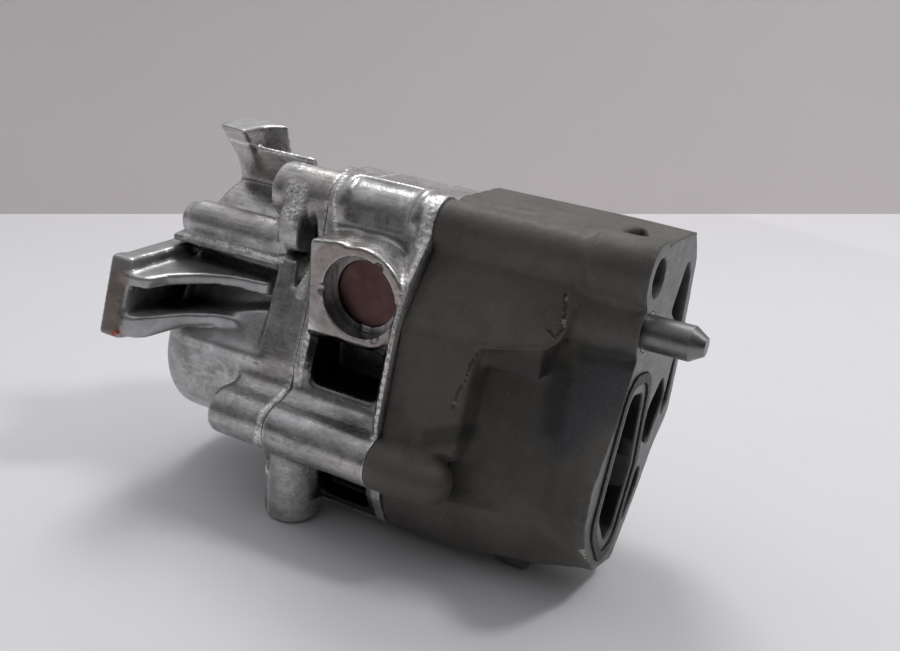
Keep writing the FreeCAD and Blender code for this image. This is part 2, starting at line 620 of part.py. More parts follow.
def body_rim():
    """Rim that carries the body out to the rear housing's outline."""
    inner = [(-5.0, 12.5, 1.5), (-10.5, 0.5, 3.0), (-13.5, -12.0, 4.0), (-17.0, -24.0, 3.0), (-17.0, -46.0, 2.0),
             (10.0, -40.0, 2.0), (12.0, 10.0, 2.0)]
    outer = [(-5.0, 12.5, 1.5), (-14.5, 2.0, 3.0), (-19.2, -7.0, 4.0), (-24.5, -30.0, 3.0), (-21.0, -46.0, 2.0),
             (10.0, -40.0, 2.0), (12.0, 10.0, 2.0)]
    ramp = blend_x(inner, X_REAR - 4.5, outer, X_REAR - 0.8)
    return joined(ramp, [prism_x(outer, X_REAR - 0.8, X_REAR)])


def body_skirt():
    """Lower front wall with its window and rail."""
    skirt = prism_x([(-22.0, -44.0, 1.0), (-21.0, -52.0, 3.0), (-17.0, -60.5, 2.0), (-6.0, -60.5, 1.0),
                     (-6.0, -44.0, 1.0)], X_SEAM, X_REAR)
    window = prism_y([(X_SEAM + 11.0, -49.0, 1.5), (X_REAR - 4.0, -49.0, 1.5), (X_REAR - 4.0, -57.0, 1.5),
                      (X_SEAM + 11.0, -57.0, 1.5)], -30.0, -13.0)
    return skirt.cut(window)


def body_stub():
    """Round boss under the body, which the pump also stands on; above the skirt it stops at the seam."""
    stub = cyl_z(X_STUB, STUB_Y, STUB_RADIUS, FLOOR_Z, -44.0)
    stub = stub.makeFillet(1.6, [e for e in stub.Edges if e.BoundBox.ZMax < FLOOR_Z + 0.01])
    return stub.cut(box(X_SEAM - 20.0, X_SEAM, -40.0, 20.0, STUB_TOP_Z, 0.0))


def valve_passages():
    """Pressure chamber behind the relief piston, its slanted feed and the spill passage to the inlet."""
    seat_y = PORT_FACE_Y + PORT_BORE_DEPTH + CAP_THICKNESS + PISTON_BORE_DEPTH
    chamber = cyl_y(X_VALVE, VALVE_Z, CHAMBER_RADIUS, seat_y - 0.5, seat_y + CHAMBER_DEPTH)
    feed_start = Vec(X_VALVE, OUTLET_Y, OUTLET_Z)
    feed = Vec(X_VALVE, seat_y + CHAMBER_DEPTH / 2.0, VALVE_Z) - feed_start
    spill_start = Vec(X_VALVE, seat_y - SPILL_OFFSET, VALVE_Z)
    spill = Vec(X_VALVE, INLET_Y, INLET_Z) - spill_start
    return [chamber, Part.makeCylinder(FEED_RADIUS, feed.Length, feed_start, feed),
            Part.makeCylinder(SPILL_RADIUS, spill.Length, spill_start, spill)]


def stake_notches():
    """Small notches round the mouth of the port, where the edge is staked."""
    notches = []
    for i in range(STAKE_NOTCHES):
        turn = math.pi / 3.0 + 2.0 * math.pi * i / STAKE_NOTCHES
        x = X_VALVE + (PORT_BORE_RADIUS + 0.2) * math.cos(turn)
        z = VALVE_Z + (PORT_BORE_RADIUS + 0.2) * math.sin(turn)
        notches.append(cyl_y(x, z, STAKE_NOTCH_RADIUS, PORT_FACE_Y - 1.0, PORT_FACE_Y + STAKE_NOTCH_DEPTH))
    return notches


def make_pump_body():
    core = prism_x(body_outline(), X_SEAM, X_REAR)
    columns = [cyl_x(y, z, radius, X_SEAM, X_REAR) for y, z, radius in SCREW_COLUMNS]
    forms = [body_stub(), body_port_boss(), body_long_column(), body_rim(), body_skirt()]
    body = joined(core, forms + column_webs(X_SEAM, X_REAR) + columns)
    window = prism_y([(X_SEAM + 5.0, -17.5, 2.0), (X_REAR - 5.0, -17.5, 2.0), (X_REAR - 5.0, -29.0, 2.0),
                      (X_SEAM + 5.0, -29.0, 2.0)], -40.0, -5.0)
    window = window.cut(cyl_y(X_VALVE, VALVE_Z, PORT_BOSS_RADIUS, -41.0, 6.0))
    shoulder_y = PORT_FACE_Y + PORT_BORE_DEPTH
    seat_y = shoulder_y + CAP_THICKNESS
    cuts = [window, cyl_y(X_VALVE, VALVE_Z, PORT_BORE_RADIUS, PORT_FACE_Y - 1.0, shoulder_y)]
    cuts.append(cyl_y(X_VALVE, VALVE_Z, CAP_RADIUS + SEAT_CLEARANCE, shoulder_y - 0.1, seat_y))
    cuts.append(cyl_y(X_VALVE, VALVE_Z, PISTON_RADIUS + PISTON_CLEARANCE, seat_y - 0.1,
                      seat_y + PISTON_BORE_DEPTH))
    cuts += valve_passages() + stake_notches()
    cuts.append(oval(POCKET_RADIUS, X_SEAM - 1.0, X_SEAM + WEAR_PLATE_THICKNESS))
    for y, z in ((DRIVE_Y, DRIVE_Z), (IDLER_Y, IDLER_Z)):
        cuts.append(bush_hole(y, z, X_SEAM, X_SEAM + WEAR_PLATE_THICKNESS + BODY_BUSH_LENGTH))
        cuts.append(cyl_x(y, z, SHAFT_RADIUS + 0.5, X_SEAM, X_SEAM + WEAR_PLATE_THICKNESS + BODY_BUSH_LENGTH + 1.5))
    cuts.append(cyl_x(OUTLET_Y, OUTLET_Z, OUTLET_PORT_RADIUS, X_SEAM - 1.0, X_REAR + 1.0))
    cuts.append(cyl_x(INLET_Y, INLET_Z, INLET_PORT_RADIUS, X_SEAM - 1.0, X_REAR + 1.0))
    cuts.append(cyl_x(COLUMN_A_Y, COLUMN_A_Z, MOUNT_HOLE_RADIUS, X_SEAM - 1.0, X_REAR + 1.0))
    cuts += screw_holes(X_SEAM - 1.0, X_REAR + 1.0)
    cuts += dowel_holes(X_SEAM)
    cuts += dowel_holes(X_REAR)
    inner = POCKET_RADIUS + SEAM_SEAL_OFFSET
    groove = oval(inner + SEAM_SEAL_WIDTH, X_SEAM - 1.0, X_SEAM + SEAM_SEAL_DEPTH)
    cuts.append(groove.cut(oval(inner, X_SEAM - 2.0, X_SEAM + SEAM_SEAL_DEPTH + 1.0)))
    for y, z, radius in ((OUTLET_Y, OUTLET_Z, OUTLET_PORT_RADIUS), (INLET_Y, INLET_Z, INLET_PORT_RADIUS)):
        cuts.append(ring_x(y, z, radius + 1.0, radius + 1.0 + PORT_SEAL_WIDTH, X_REAR - PORT_SEAL_DEPTH,
                           X_REAR + 1.0))
    return body.cut(cuts)


# Rear housing
def rear_bulge():
    """Large smooth bulge with its crease, the step under it and the lower part that ends above the screw column."""
    upper = prism_x([(-1.2, 11.6, 1.0), (-14.0, -4.2, 0.8), (-16.6, -7.4, 1.2), (-15.4, -8.6, 0.8), (6.0, -9.0, 0.5),
                     (6.0, 11.6, 0.5)], X_REAR, BULGE_END)
    sweep = prism_y([(X_REAR - 1.0, 13.0, 0.5), (BULGE_END + 1.4, 13.0, 0.5), (BULGE_END - 1.4, -3.0, 2.0),
                     (BULGE_END - 3.6, -4.6, 2.0), (X_REAR + LOWER_BULGE_LENGTH + 1.0, -7.8, 2.0),
                     (X_REAR + LOWER_BULGE_LENGTH - 2.0, -10.0, 0.5), (X_REAR - 1.0, -10.0, 0.5)], -25.0, 7.0)
    step = prism_x([(-13.2, -3.0, 0.5), (-13.6, -13.0, 1.0), (-3.0, -13.5, 0.5), (-3.0, -3.0, 0.5)],
                   X_REAR + LOWER_BULGE_LENGTH - 2.0, BULGE_END - 4.5)
    end = X_REAR + LOWER_BULGE_LENGTH
    lower = prism_x([(-16.6, -7.0, 1.5), (-19.6, -22.0, 6.0), (-22.3, -33.0, 1.5), (-19.0, -36.0, 1.5),
                     (-6.0, -36.0, 0.5), (-6.0, -7.0, 0.5)], X_REAR, end)
    edge = [e for e in lower.Edges if abs(e.BoundBox.XMin - end) < 1e-4 and e.BoundBox.YMax < -15.5]
    lower = lower.makeFillet(2.0, edge)
    return joined(upper.common(sweep), [lower, step])


def rear_columns():
    """Column ends of the assembly screws and the long mounting column."""
    solids = [cyl_x(COLUMN_A_Y, COLUMN_A_Z, COLUMN_A_RADIUS, X_REAR, -EAR_LENGTH + 1.0)]
    solids.append(cyl_x(COLUMN_A_Y, COLUMN_A_Z, EAR_RADIUS, -EAR_LENGTH, 0.0))
    for y, z, radius in SCREW_COLUMNS:
        slim = radius - COLUMN_STEP
        solids.append(cyl_x(y, z, radius, X_REAR, X_REAR + COLUMN_STEP_LENGTH))
        solids.append(domed_column(y, z, slim, X_REAR, X_COLUMN_END + slim))
    solids.append(cyl_x(0.0, 0.0, PIN_RADIUS + PIN_BOSS_WALL, -PIN_BOSS_LENGTH, 0.0))
    return solids


def low_wall():
    """Lower front wall, which runs out smoothly towards the flange."""
    start = [(-21.5, -44.0, 2.0), (-19.5, -54.0, 4.0), (-16.0, -61.0, 3.0), (2.0, -61.5, 2.0), (2.0, -44.0, 1.0)]
    end = [(-16.6, -44.0, 2.0), (-16.6, -52.0, 4.0), (-14.2, -58.4, 3.0), (2.0, -60.8, 2.0), (2.0, -44.0, 1.0)]
    middle = X_REAR + LOWER_BULGE_LENGTH - 1.0
    return [prism_x(start, X_REAR, middle), blend_x(start, middle, end, BULGE_END - 2.0)]


def make_rear_housing():
    valley = prism_x(valley_outline(), X_REAR, -14.0)
    flare = blend_x(valley_outline(), -14.0, flange_outline(), -2.0)
    rim = prism_x(flange_outline(), -2.0, 0.0)
    bump = prism_x([(-14.0, -52.0, 3.0), (-9.5, FLOOR_Z, 3.0), (2.5, FLOOR_Z, 3.0), (6.0, -54.0, 1.0)],
                   X_REAR + 27.0, X_REAR + 35.0)
    forms = [flare, rim, bump, rear_bulge()] + low_wall()
    housing = joined(valley, forms + column_webs(X_REAR, X_COLUMN_END) + rear_columns())
    cuts = [prism_x(kidney_outline(), X_GALLERY, 1.0), prism_x(inlet_outline(), X_GALLERY, 1.0)]
    for outline in light_pocket_outlines():
        cuts.append(prism_x(outline, -LIGHT_POCKET_DEPTH, 1.0))
    cuts.append(cyl_x(OUTLET_Y, OUTLET_Z, OUTLET_PORT_RADIUS, X_REAR - 1.0, X_GALLERY + 1.0))
    cuts.append(cyl_x(INLET_Y, INLET_Z, INLET_PORT_RADIUS, X_REAR - 1.0, X_GALLERY + 1.0))
    cuts.append(cyl_x(0.0, 0.0, PIN_SEAT_RADIUS + SEAT_CLEARANCE, -PIN_SEAT_DEPTH, 1.0))
    cuts.append(cyl_x(COLUMN_A_Y, COLUMN_A_Z, MOUNT_HOLE_RADIUS, X_REAR - 1.0, 1.0))
    cuts += screw_holes(X_REAR - 1.0, X_REAR + SCREW_THREAD_REACH + 1.0)
    cuts += dowel_holes(X_REAR)
    cuts.append(flange_seal_band(-FLANGE_SEAL_DEPTH, 1.0, 0.0))
    cuts.append(prism_z([(-12.0, 9.0, 1.0), (-10.8, 22.5, 1.0), (-6.0, 9.4, 1.0)], TOP_NOTCH_FLOOR, 20.0))
    return housing.cut(cuts)


def flange_seal_band(x0, x1, slack):
    """Band round the outlet gallery; slack narrows it on both sides."""
    face = Part.Face(outline_x(kidney_outline(), x0))
    outer = face.makeOffset2D(FLANGE_SEAL_OFFSET + FLANGE_SEAL_WIDTH - slack)
    inner = face.makeOffset2D(FLANGE_SEAL_OFFSET + slack)
    length = Vec(x1 - x0, 0, 0)
    return outer.extrude(length).cut(inner.extrude(length))


# Gears and shafts
def involute(angle):
    """Involute function."""
    return math.tan(angle) - angle


def gear_face(y, z, phase, x):
    """Face of one spur gear in the plane at x, with a tooth centred on the angle phase."""
    pressure = math.radians(PRESSURE_ANGLE)
    base = PITCH_RADIUS * math.cos(pressure)
    half = math.pi / (2.0 * GEAR_TEETH) - BACKLASH / (4.0 * PITCH_RADIUS) + involute(pressure)

    def at(radius, angle):
        return Vec(x, y + radius * math.sin(angle), z + radius * math.cos(angle))

    flank = []
    for radius in (base, (base + TIP_RADIUS) / 2.0, TIP_RADIUS):
        flank.append((radius, half - involute(math.acos(min(base / radius, 1.0)))))
    edges = []
    pitch = 2.0 * math.pi / GEAR_TEETH
    for tooth in range(GEAR_TEETH):
        centre = phase + tooth * pitch
        rising = Part.Arc(*[at(r, centre - a) for r, a in flank])
        falling = Part.Arc(*[at(r, centre + a) for r, a in reversed(flank)])
        tip = flank[-1][1]
        edges.append(Part.LineSegment(at(ROOT_RADIUS, centre - half), at(base, centre - half)).toShape())
        edges.append(rising.toShape())
        edges.append(Part.Arc(at(TIP_RADIUS, centre - tip), at(TIP_RADIUS, centre),
                              at(TIP_RADIUS, centre + tip)).toShape())
        edges.append(falling.toShape())
        edges.append(Part.LineSegment(at(base, centre + half), at(ROOT_RADIUS, centre + half)).toShape())
        edges.append(Part.Arc(at(ROOT_RADIUS, centre + half), at(ROOT_RADIUS, centre + pitch / 2.0),
                              at(ROOT_RADIUS, centre + pitch - half)).toShape())
    return Part.Face(Part.Wire(edges))


def make_gear(y, z, phase):
    """Spur gear with its shaft bore."""
    x0 = X_POCKET + SIDE_CLEARANCE
    x1 = X_SEAM - SIDE_CLEARANCE
    gear = gear_face(y, z, phase, x0).extrude(Vec(x1 - x0, 0, 0))
    return gear.cut(cyl_x(y, z, SHAFT_RADIUS, x0 - 1.0, x1 + 1.0))


def key_block(slack):
    """Parallel key between the drive shaft and the drive gear."""
    middle = (X_POCKET + X_SEAM) / 2.0
    half = KEY_LENGTH / 2.0 + slack
    width = KEY_WIDTH / 2.0 + slack
    low = DRIVE_Z + SHAFT_RADIUS - KEY_HEIGHT / 2.0 - slack
    return box(middle - half, middle + half, DRIVE_Y - width, DRIVE_Y + width, low, low + KEY_HEIGHT + 2.0 * slack)


def make_drive_gear():
    return make_gear(DRIVE_Y, DRIVE_Z, math.pi + LEAN).cut(key_block(SEAT_CLEARANCE))


def make_idler_gear():
    return make_gear(IDLER_Y, IDLER_Z, LEAN + math.pi / GEAR_TEETH)


def make_drive_shaft():
    """Shaft with a round stub outside the cover, a flatted tang beyond it and a key seat."""
    end = X_SEAM + WEAR_PLATE_THICKNESS + BODY_BUSH_LENGTH + SHAFT_END_GAP
    step = X_DRUM - DRIVE_STUB_LENGTH
    start = step - DRIVE_TANG_LENGTH
    shaft = cyl_x(DRIVE_Y, DRIVE_Z, SHAFT_RADIUS, X_DRUM, end)
    shaft = shaft.makeChamfer(0.6, end_edges(shaft, end))
    stub = cyl_x(DRIVE_Y, DRIVE_Z, DRIVE_STUB_RADIUS, step, X_DRUM + 1.0)
    tang = cyl_x(DRIVE_Y, DRIVE_Z, DRIVE_TANG_RADIUS, start, step + 1.0)
    tang = tang.makeChamfer(0.6, end_edges(tang, start))
    low = DRIVE_Z + DRIVE_TANG_RADIUS - DRIVE_FLAT_DEPTH
    tang = tang.cut(box(start - 1.0, step, DRIVE_Y - SHAFT_RADIUS, DRIVE_Y + SHAFT_RADIUS, low, low + 3.0))
    return joined(shaft, [stub, tang]).cut(key_block(SEAT_CLEARANCE))


def make_idler_shaft():
    """Plain shaft that turns with the driven gear."""
    start = X_POCKET - FRONT_BUSH_LENGTH + 0.3
    end = X_SEAM + WEAR_PLATE_THICKNESS + BODY_BUSH_LENGTH + SHAFT_END_GAP
    shaft = cyl_x(IDLER_Y, IDLER_Z, SHAFT_RADIUS, start, end)
    return shaft.makeChamfer(0.6, end_edges(shaft, start) + end_edges(shaft, end))


def make_bush(y, z, x0, x1):
    """Plain bearing bush."""
    return ring_x(y, z, SHAFT_RADIUS + RUNNING_CLEARANCE, BUSH_RADIUS, x0, x1)


def make_shaft_seal():
    """Lip seal: a cased ring with a thin lip towards the shaft."""
    x0 = X_DRUM + 0.3
    x1 = X_DRUM + SHAFT_SEAL_WIDTH
    case = ring_x(DRIVE_Y, DRIVE_Z, SHAFT_SEAL_RADIUS - 1.5, SHAFT_SEAL_RADIUS, x0, x1)
    web = ring_x(DRIVE_Y, DRIVE_Z, SHAFT_RADIUS + 0.8, SHAFT_SEAL_RADIUS, x0, x0 + 1.5)
    lip = ring_x(DRIVE_Y, DRIVE_Z, SHAFT_RADIUS + 2.0 * RUNNING_CLEARANCE, SHAFT_RADIUS + 1.6, x0, x0 + 3.5)
    return joined(case, [web, lip])


def make_wear_plate():
    """Hardened plate between the gears and the pump body."""
    plate = oval(POCKET_RADIUS - SEAT_CLEARANCE, X_SEAM, X_SEAM + WEAR_PLATE_THICKNESS)
    cuts = []
    for y, z in ((DRIVE_Y, DRIVE_Z), (IDLER_Y, IDLER_Z)):
        cuts.append(cyl_x(y, z, SHAFT_RADIUS + 0.5, X_SEAM - 1.0, X_SEAM + WEAR_PLATE_THICKNESS + 1.0))
    cuts.append(cyl_x(OUTLET_Y, OUTLET_Z, OUTLET_PORT_RADIUS, X_SEAM - 1.0, X_SEAM + WEAR_PLATE_THICKNESS + 1.0))
    cuts.append(cyl_x(INLET_Y, INLET_Z, INLET_PORT_RADIUS, X_SEAM - 1.0, X_SEAM + WEAR_PLATE_THICKNESS + 1.0))
    return plate.cut(cuts)


# Relief valve
def make_valve_cap():
    """Disc that closes the valve bore, slightly dished."""
    shoulder_y = PORT_FACE_Y + PORT_BORE_DEPTH
    disc = cyl_y(X_VALVE, VALVE_Z, CAP_RADIUS, shoulder_y, shoulder_y + CAP_THICKNESS)
    return disc.makeChamfer(0.4, [e for e in disc.Edges if abs(e.BoundBox.YMax - shoulder_y) < 1e-4])


def make_cap_circlip():
    """Retaining ring in front of the cap, open at the bottom."""
    shoulder_y = PORT_FACE_Y + PORT_BORE_DEPTH
    outer = PORT_BORE_RADIUS - SEAT_CLEARANCE
    ring = ring_y(X_VALVE, VALVE_Z, outer - CIRCLIP_WIDTH, outer, shoulder_y - CIRCLIP_THICKNESS, shoulder_y)
    gap = box(X_VALVE - 1.5, X_VALVE + 1.5, shoulder_y - 3.0, shoulder_y + 1.0, VALVE_Z - outer - 1.0, VALVE_Z - 4.0)
    return ring.cut(gap)


def make_valve_piston():
    """Relief piston, cupped for its spring."""
    end = PORT_FACE_Y + PORT_BORE_DEPTH + CAP_THICKNESS + PISTON_BORE_DEPTH - 0.05
    start = end - PISTON_LENGTH
    piston = cyl_y(X_VALVE, VALVE_Z, PISTON_RADIUS, start, end)
    cup = cyl_y(X_VALVE, VALVE_Z, PISTON_CUP_RADIUS, start - 1.0, start + PISTON_CUP_DEPTH)
    groove = ring_y(X_VALVE, VALVE_Z, PISTON_RADIUS - 0.4, PISTON_RADIUS + 1.0, end - 3.0, end - 2.2)
    return piston.cut([cup, groove])


def make_valve_spring():
    """Coil spring between the cap and the piston, its wire eight-sided."""
    start = PORT_FACE_Y + PORT_BORE_DEPTH + CAP_THICKNESS + SPRING_WIRE_RADIUS
    piston_end = PORT_FACE_Y + PORT_BORE_DEPTH + CAP_THICKNESS + PISTON_BORE_DEPTH - 0.05
    seat = piston_end - PISTON_LENGTH + PISTON_CUP_DEPTH
    height = seat - start - SPRING_WIRE_RADIUS
    helix = Part.makeHelix(height / SPRING_TURNS, height, SPRING_RADIUS)
    corner = SPRING_WIRE_RADIUS / math.cos(math.pi / 8.0)
    turn = [math.pi * (i + 0.5) / 4.0 for i in range(9)]
    section = Part.makePolygon([Vec(SPRING_RADIUS + corner * math.cos(a), 0, corner * math.sin(a)) for a in turn])
    coil = Part.Wire(helix).makePipeShell([section], True, True)
    coil.rotate(Vec(0, 0, 0), Vec(1, 0, 0), -90.0)
    coil.translate(Vec(X_VALVE, start, VALVE_Z))
    return coil


# Pin, screws, dowels and seals
def make_locating_pin():
    """Stepped dowel pin: the thicker end sits in the housing, the free end has a cone tip."""
    seat = cyl_x(0.0, 0.0, PIN_SEAT_RADIUS, -PIN_SEAT_DEPTH + 0.2, 0.0)
    shank = cyl_x(0.0, 0.0, PIN_RADIUS, -1.0, PIN_REACH - PIN_CONE)
    tip = Part.makeCone(PIN_RADIUS, PIN_RADIUS - 1.9, PIN_CONE, Vec(PIN_REACH - PIN_CONE, 0, 0), Vec(1, 0, 0))
    return joined(seat, [shank, tip])


def make_screw(y, z):
    """Socket cap screw, its head sunk in the column."""
    seat = X_HEAD + SCREW_HEAD_HEIGHT + 0.5
    head = cyl_x(y, z, SCREW_HEAD_RADIUS, seat - SCREW_HEAD_HEIGHT, seat)
    shank = cyl_x(y, z, SCREW_RADIUS, seat - 0.5, X_REAR + SCREW_THREAD_REACH)
    turn = [Vec(seat - SCREW_HEAD_HEIGHT - 0.5, y + SCREW_SOCKET_RADIUS * math.cos(i * math.pi / 3.0),
                z + SCREW_SOCKET_RADIUS * math.sin(i * math.pi / 3.0)) for i in range(7)]
    socket = Part.Face(Part.makePolygon(turn)).extrude(Vec(SCREW_SOCKET_DEPTH + 0.5, 0, 0))
    return joined(head, [shank]).cut(socket)


def make_assembly_screws():
    return Part.makeCompound([make_screw(y, z) for y, z, radius in SCREW_COLUMNS])


def make_dowel_sleeves():
    half = DOWEL_LENGTH / 2.0 - 0.1
    sleeves = []
    for x in (X_SEAM, X_REAR):
        for y, z, radius in DOWEL_COLUMNS:
            sleeves.append(ring_x(y, z, SCREW_HOLE_RADIUS, DOWEL_RADIUS, x - half, x + half))
    return Part.makeCompound(sleeves)


def make_cover_seal():
    """Rubber cord in the seam between the front cover and the pump body."""
    inner = POCKET_RADIUS + SEAM_SEAL_OFFSET + SEAT_CLEARANCE
    outer = inner + SEAM_SEAL_WIDTH - 2.0 * SEAT_CLEARANCE
    band = oval(outer, X_SEAM, X_SEAM + SEAM_SEAL_DEPTH)
    return band.cut(oval(inner, X_SEAM - 1.0, X_SEAM + SEAM_SEAL_DEPTH + 1.0))


def make_port_seals():
    """Rubber rings round the two passages between the pump body and the rear housing."""
    rings = []
    for y, z, radius in ((OUTLET_Y, OUTLET_Z, OUTLET_PORT_RADIUS), (INLET_Y, INLET_Z, INLET_PORT_RADIUS)):
        inner = radius + 1.0 + SEAT_CLEARANCE
        outer = inner + PORT_SEAL_WIDTH - 2.0 * SEAT_CLEARANCE
        rings.append(ring_x(y, z, inner, outer, X_REAR - PORT_SEAL_DEPTH, X_REAR))
    return Part.makeCompound(rings)


def make_flange_seal():
    """Rubber profile seal in the flange groove, a little proud of the face."""
    return flange_seal_band(-FLANGE_SEAL_DEPTH, FLANGE_SEAL_PROUD, SEAT_CLEARANCE)


FRONT_BUSH_X = X_POCKET - FRONT_BUSH_LENGTH
BODY_BUSH_X = X_SEAM + WEAR_PLATE_THICKNESS

NODES = {
    "front_cover": make_front_cover(),
    "pump_body": make_pump_body(),
    "rear_housing": make_rear_housing(),
    "drive_gear": make_drive_gear(),
    "driven_gear": make_idler_gear(),
    "drive_shaft": make_drive_shaft(),
    "driven_shaft": make_idler_shaft(),
    "drive_key": key_block(0.0),
    "drive_front_bush": make_bush(DRIVE_Y, DRIVE_Z, FRONT_BUSH_X, X_POCKET),
    "driven_front_bush": make_bush(IDLER_Y, IDLER_Z, FRONT_BUSH_X, X_POCKET),
    "drive_rear_bush": make_bush(DRIVE_Y, DRIVE_Z, BODY_BUSH_X, BODY_BUSH_X + BODY_BUSH_LENGTH),
    "driven_rear_bush": make_bush(IDLER_Y, IDLER_Z, BODY_BUSH_X, BODY_BUSH_X + BODY_BUSH_LENGTH),
    "shaft_seal": make_shaft_seal(),
    "wear_plate": make_wear_plate(),
    "valve_piston": make_valve_piston(),
    "valve_spring": make_valve_spring(),
    "valve_cap": make_valve_cap(),
    "cap_circlip": make_cap_circlip(),
    "locating_pin": make_locating_pin(),
    "assembly_screws": make_assembly_screws(),
    "dowel_sleeves": make_dowel_sleeves(),
    "cover_seal": make_cover_seal(),
    "port_seals": make_port_seals(),
    "flange_seal": make_flange_seal(),
}

os.makedirs("parts", exist_ok=True)
for name, shape in NODES.items():
    shape.exportStep("parts/" + name + ".step")
    print(name, len(shape.Solids), shape.isValid(), round(shape.Volume, 1))
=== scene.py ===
"""Looks of the engine oil pump: cast skins, machined faces, flash, chips and materials."""
import json
import math

import bpy
import numpy as np
from mathutils import Matrix, Vector, noise


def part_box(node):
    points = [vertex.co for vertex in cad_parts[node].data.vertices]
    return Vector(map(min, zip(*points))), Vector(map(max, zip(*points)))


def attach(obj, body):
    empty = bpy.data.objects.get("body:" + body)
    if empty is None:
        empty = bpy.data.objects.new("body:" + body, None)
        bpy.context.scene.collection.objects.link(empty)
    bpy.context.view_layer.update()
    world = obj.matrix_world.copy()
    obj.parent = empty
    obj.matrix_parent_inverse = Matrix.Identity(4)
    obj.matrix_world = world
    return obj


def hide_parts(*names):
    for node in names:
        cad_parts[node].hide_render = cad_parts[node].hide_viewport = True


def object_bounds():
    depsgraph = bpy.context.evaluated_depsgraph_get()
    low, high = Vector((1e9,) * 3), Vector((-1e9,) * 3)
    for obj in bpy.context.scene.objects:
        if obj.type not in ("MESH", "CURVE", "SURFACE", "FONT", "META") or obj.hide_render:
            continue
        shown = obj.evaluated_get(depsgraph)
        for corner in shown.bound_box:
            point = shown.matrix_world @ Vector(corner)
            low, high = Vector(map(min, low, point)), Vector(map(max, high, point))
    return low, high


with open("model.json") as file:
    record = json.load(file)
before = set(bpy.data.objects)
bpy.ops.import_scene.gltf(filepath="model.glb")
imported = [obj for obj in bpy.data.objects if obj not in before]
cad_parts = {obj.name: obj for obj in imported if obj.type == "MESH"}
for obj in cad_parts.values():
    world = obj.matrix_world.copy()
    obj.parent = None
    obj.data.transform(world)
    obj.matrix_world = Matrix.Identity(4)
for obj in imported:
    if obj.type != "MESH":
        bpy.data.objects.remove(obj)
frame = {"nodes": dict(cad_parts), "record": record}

CAD_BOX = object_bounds()
MM = 0.001

# Places worked out from the frame
BODY_LENGTH = 0.029
SEAM_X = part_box("pump_body")[1].x - BODY_LENGTH
REAR_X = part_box("rear_housing")[0].x
FLANGE_X = 0.0
CAP_LOW, CAP_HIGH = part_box("valve_cap")
CAP_DEPTH = 5.0 * MM
PORT_CENTRE = ((CAP_LOW.x + CAP_HIGH.x) / 2.0, (CAP_LOW.z + CAP_HIGH.z) / 2.0)
PORT_FACE_Y = CAP_LOW.y - CAP_DEPTH
PIN_CENTRE = (0.0, 0.0)
COLUMN_CENTRE = (0.0014, 0.012)
FLOOR_Z = CAD_BOX[0][2]
ARM_PAD_LENGTH = 7.0 * MM
ARM_PAD_X = CAD_BOX[0][0] + ARM_PAD_LENGTH
TOP_Z = CAD_BOX[1][2]

# Camera, as solved from the photograph
CAMERA_PLACE = (0.050254, -0.2008, 0.0795)
CAMERA_RIGHT = (0.87798, 0.47003, 0.09064)
CAMERA_UP = (-0.25283, 0.29455, 0.92158)
CAMERA_BACK = (0.40647, -0.83205, 0.37745)
LENS_MM = 40.0
SENSOR_MM = 36.0
IMAGE_WIDTH = 900
IMAGE_HEIGHT = 651
WALL_ROW = 214

# Marks on the castings, as lines of the photograph's pixels with their reach on the surface in millimetres
RIM_TOP = ([(437, 200), (424, 244)], 3.2)
RIM_LOW = ([(424, 244), (407, 289), (393, 347), (380, 405), (377, 432)], 2.1)
SEAM_STRIP = ([(309, 328), (305, 350), (303, 374)], 1.5)
SEAM_TOP = ([(347, 170), (334, 197), (336, 230)], 0.8)
SEAM_LOW = ([(297, 378), (262, 412), (255, 445)], 1.0)
LUG_FACE = ([(292, 190), (300, 192), (298, 206), (290, 214)], 3.0)
FAN_EDGE = ([(232, 140), (262, 148), (295, 156)], 0.8)
RAIL_EDGE = ([(186, 236), (235, 247), (283, 260)], 0.9)
COLLAR = ([(309, 158), (299, 169)], 0.6)
FOOT_LUMPS = ([(245, 450), (268, 468)], 2.6)
FACET = ([(306, 273), (301, 294)], 1.8)
RED_MARK = ([(113, 334), (118, 332)], 0.9)
CHIP_RIGHT = ([(566, 295), (563, 329), (555, 338), (549, 331)], 0.55)
CHIP_LEFT = ([(478, 355), (471, 364), (467, 378), (458, 391), (453, 407)], 0.6)
PANEL_TINT = ([(618, 378), (595, 392), (566, 428)], 9.0)
# Painted shade below the step, beside the panel, under the boss and under the bulge
STEP_SHADE = ([(500, 362), (543, 370)], 5.0)
PANEL_SHADE = ([(560, 372), (553, 425)], 4.0)
BOSS_SHADE = ([(585, 352), (640, 362)], 3.0)
BULGE_SHADE = ([(430, 438), (470, 432)], 3.0)
CORNER_NICKS = ([(583, 552), (592, 560), (601, 548)], 1.3)
BRIGHT_MARKS = {
    "front_cover": (SEAM_STRIP, SEAM_TOP, SEAM_LOW, LUG_FACE, FAN_EDGE, RAIL_EDGE, COLLAR, FACET),
    "pump_body": (RIM_TOP, RIM_LOW, SEAM_STRIP, SEAM_TOP, SEAM_LOW, FOOT_LUMPS),
    "rear_housing": (CORNER_NICKS,),
}
GROOVES = {"rear_housing": (CHIP_RIGHT, CHIP_LEFT)}
# Red mark and cool tint, and painted shade on the rear housing
TINTS_AND_SHADES = {
    "front_cover": {"red": (RED_MARK,)},
    "rear_housing": {"cool": (PANEL_TINT,), "shade": (STEP_SHADE, PANEL_SHADE, BOSS_SHADE, BULGE_SHADE)},
}
TRACE_STEP = 3.0
MARK_GAIN = 1.8

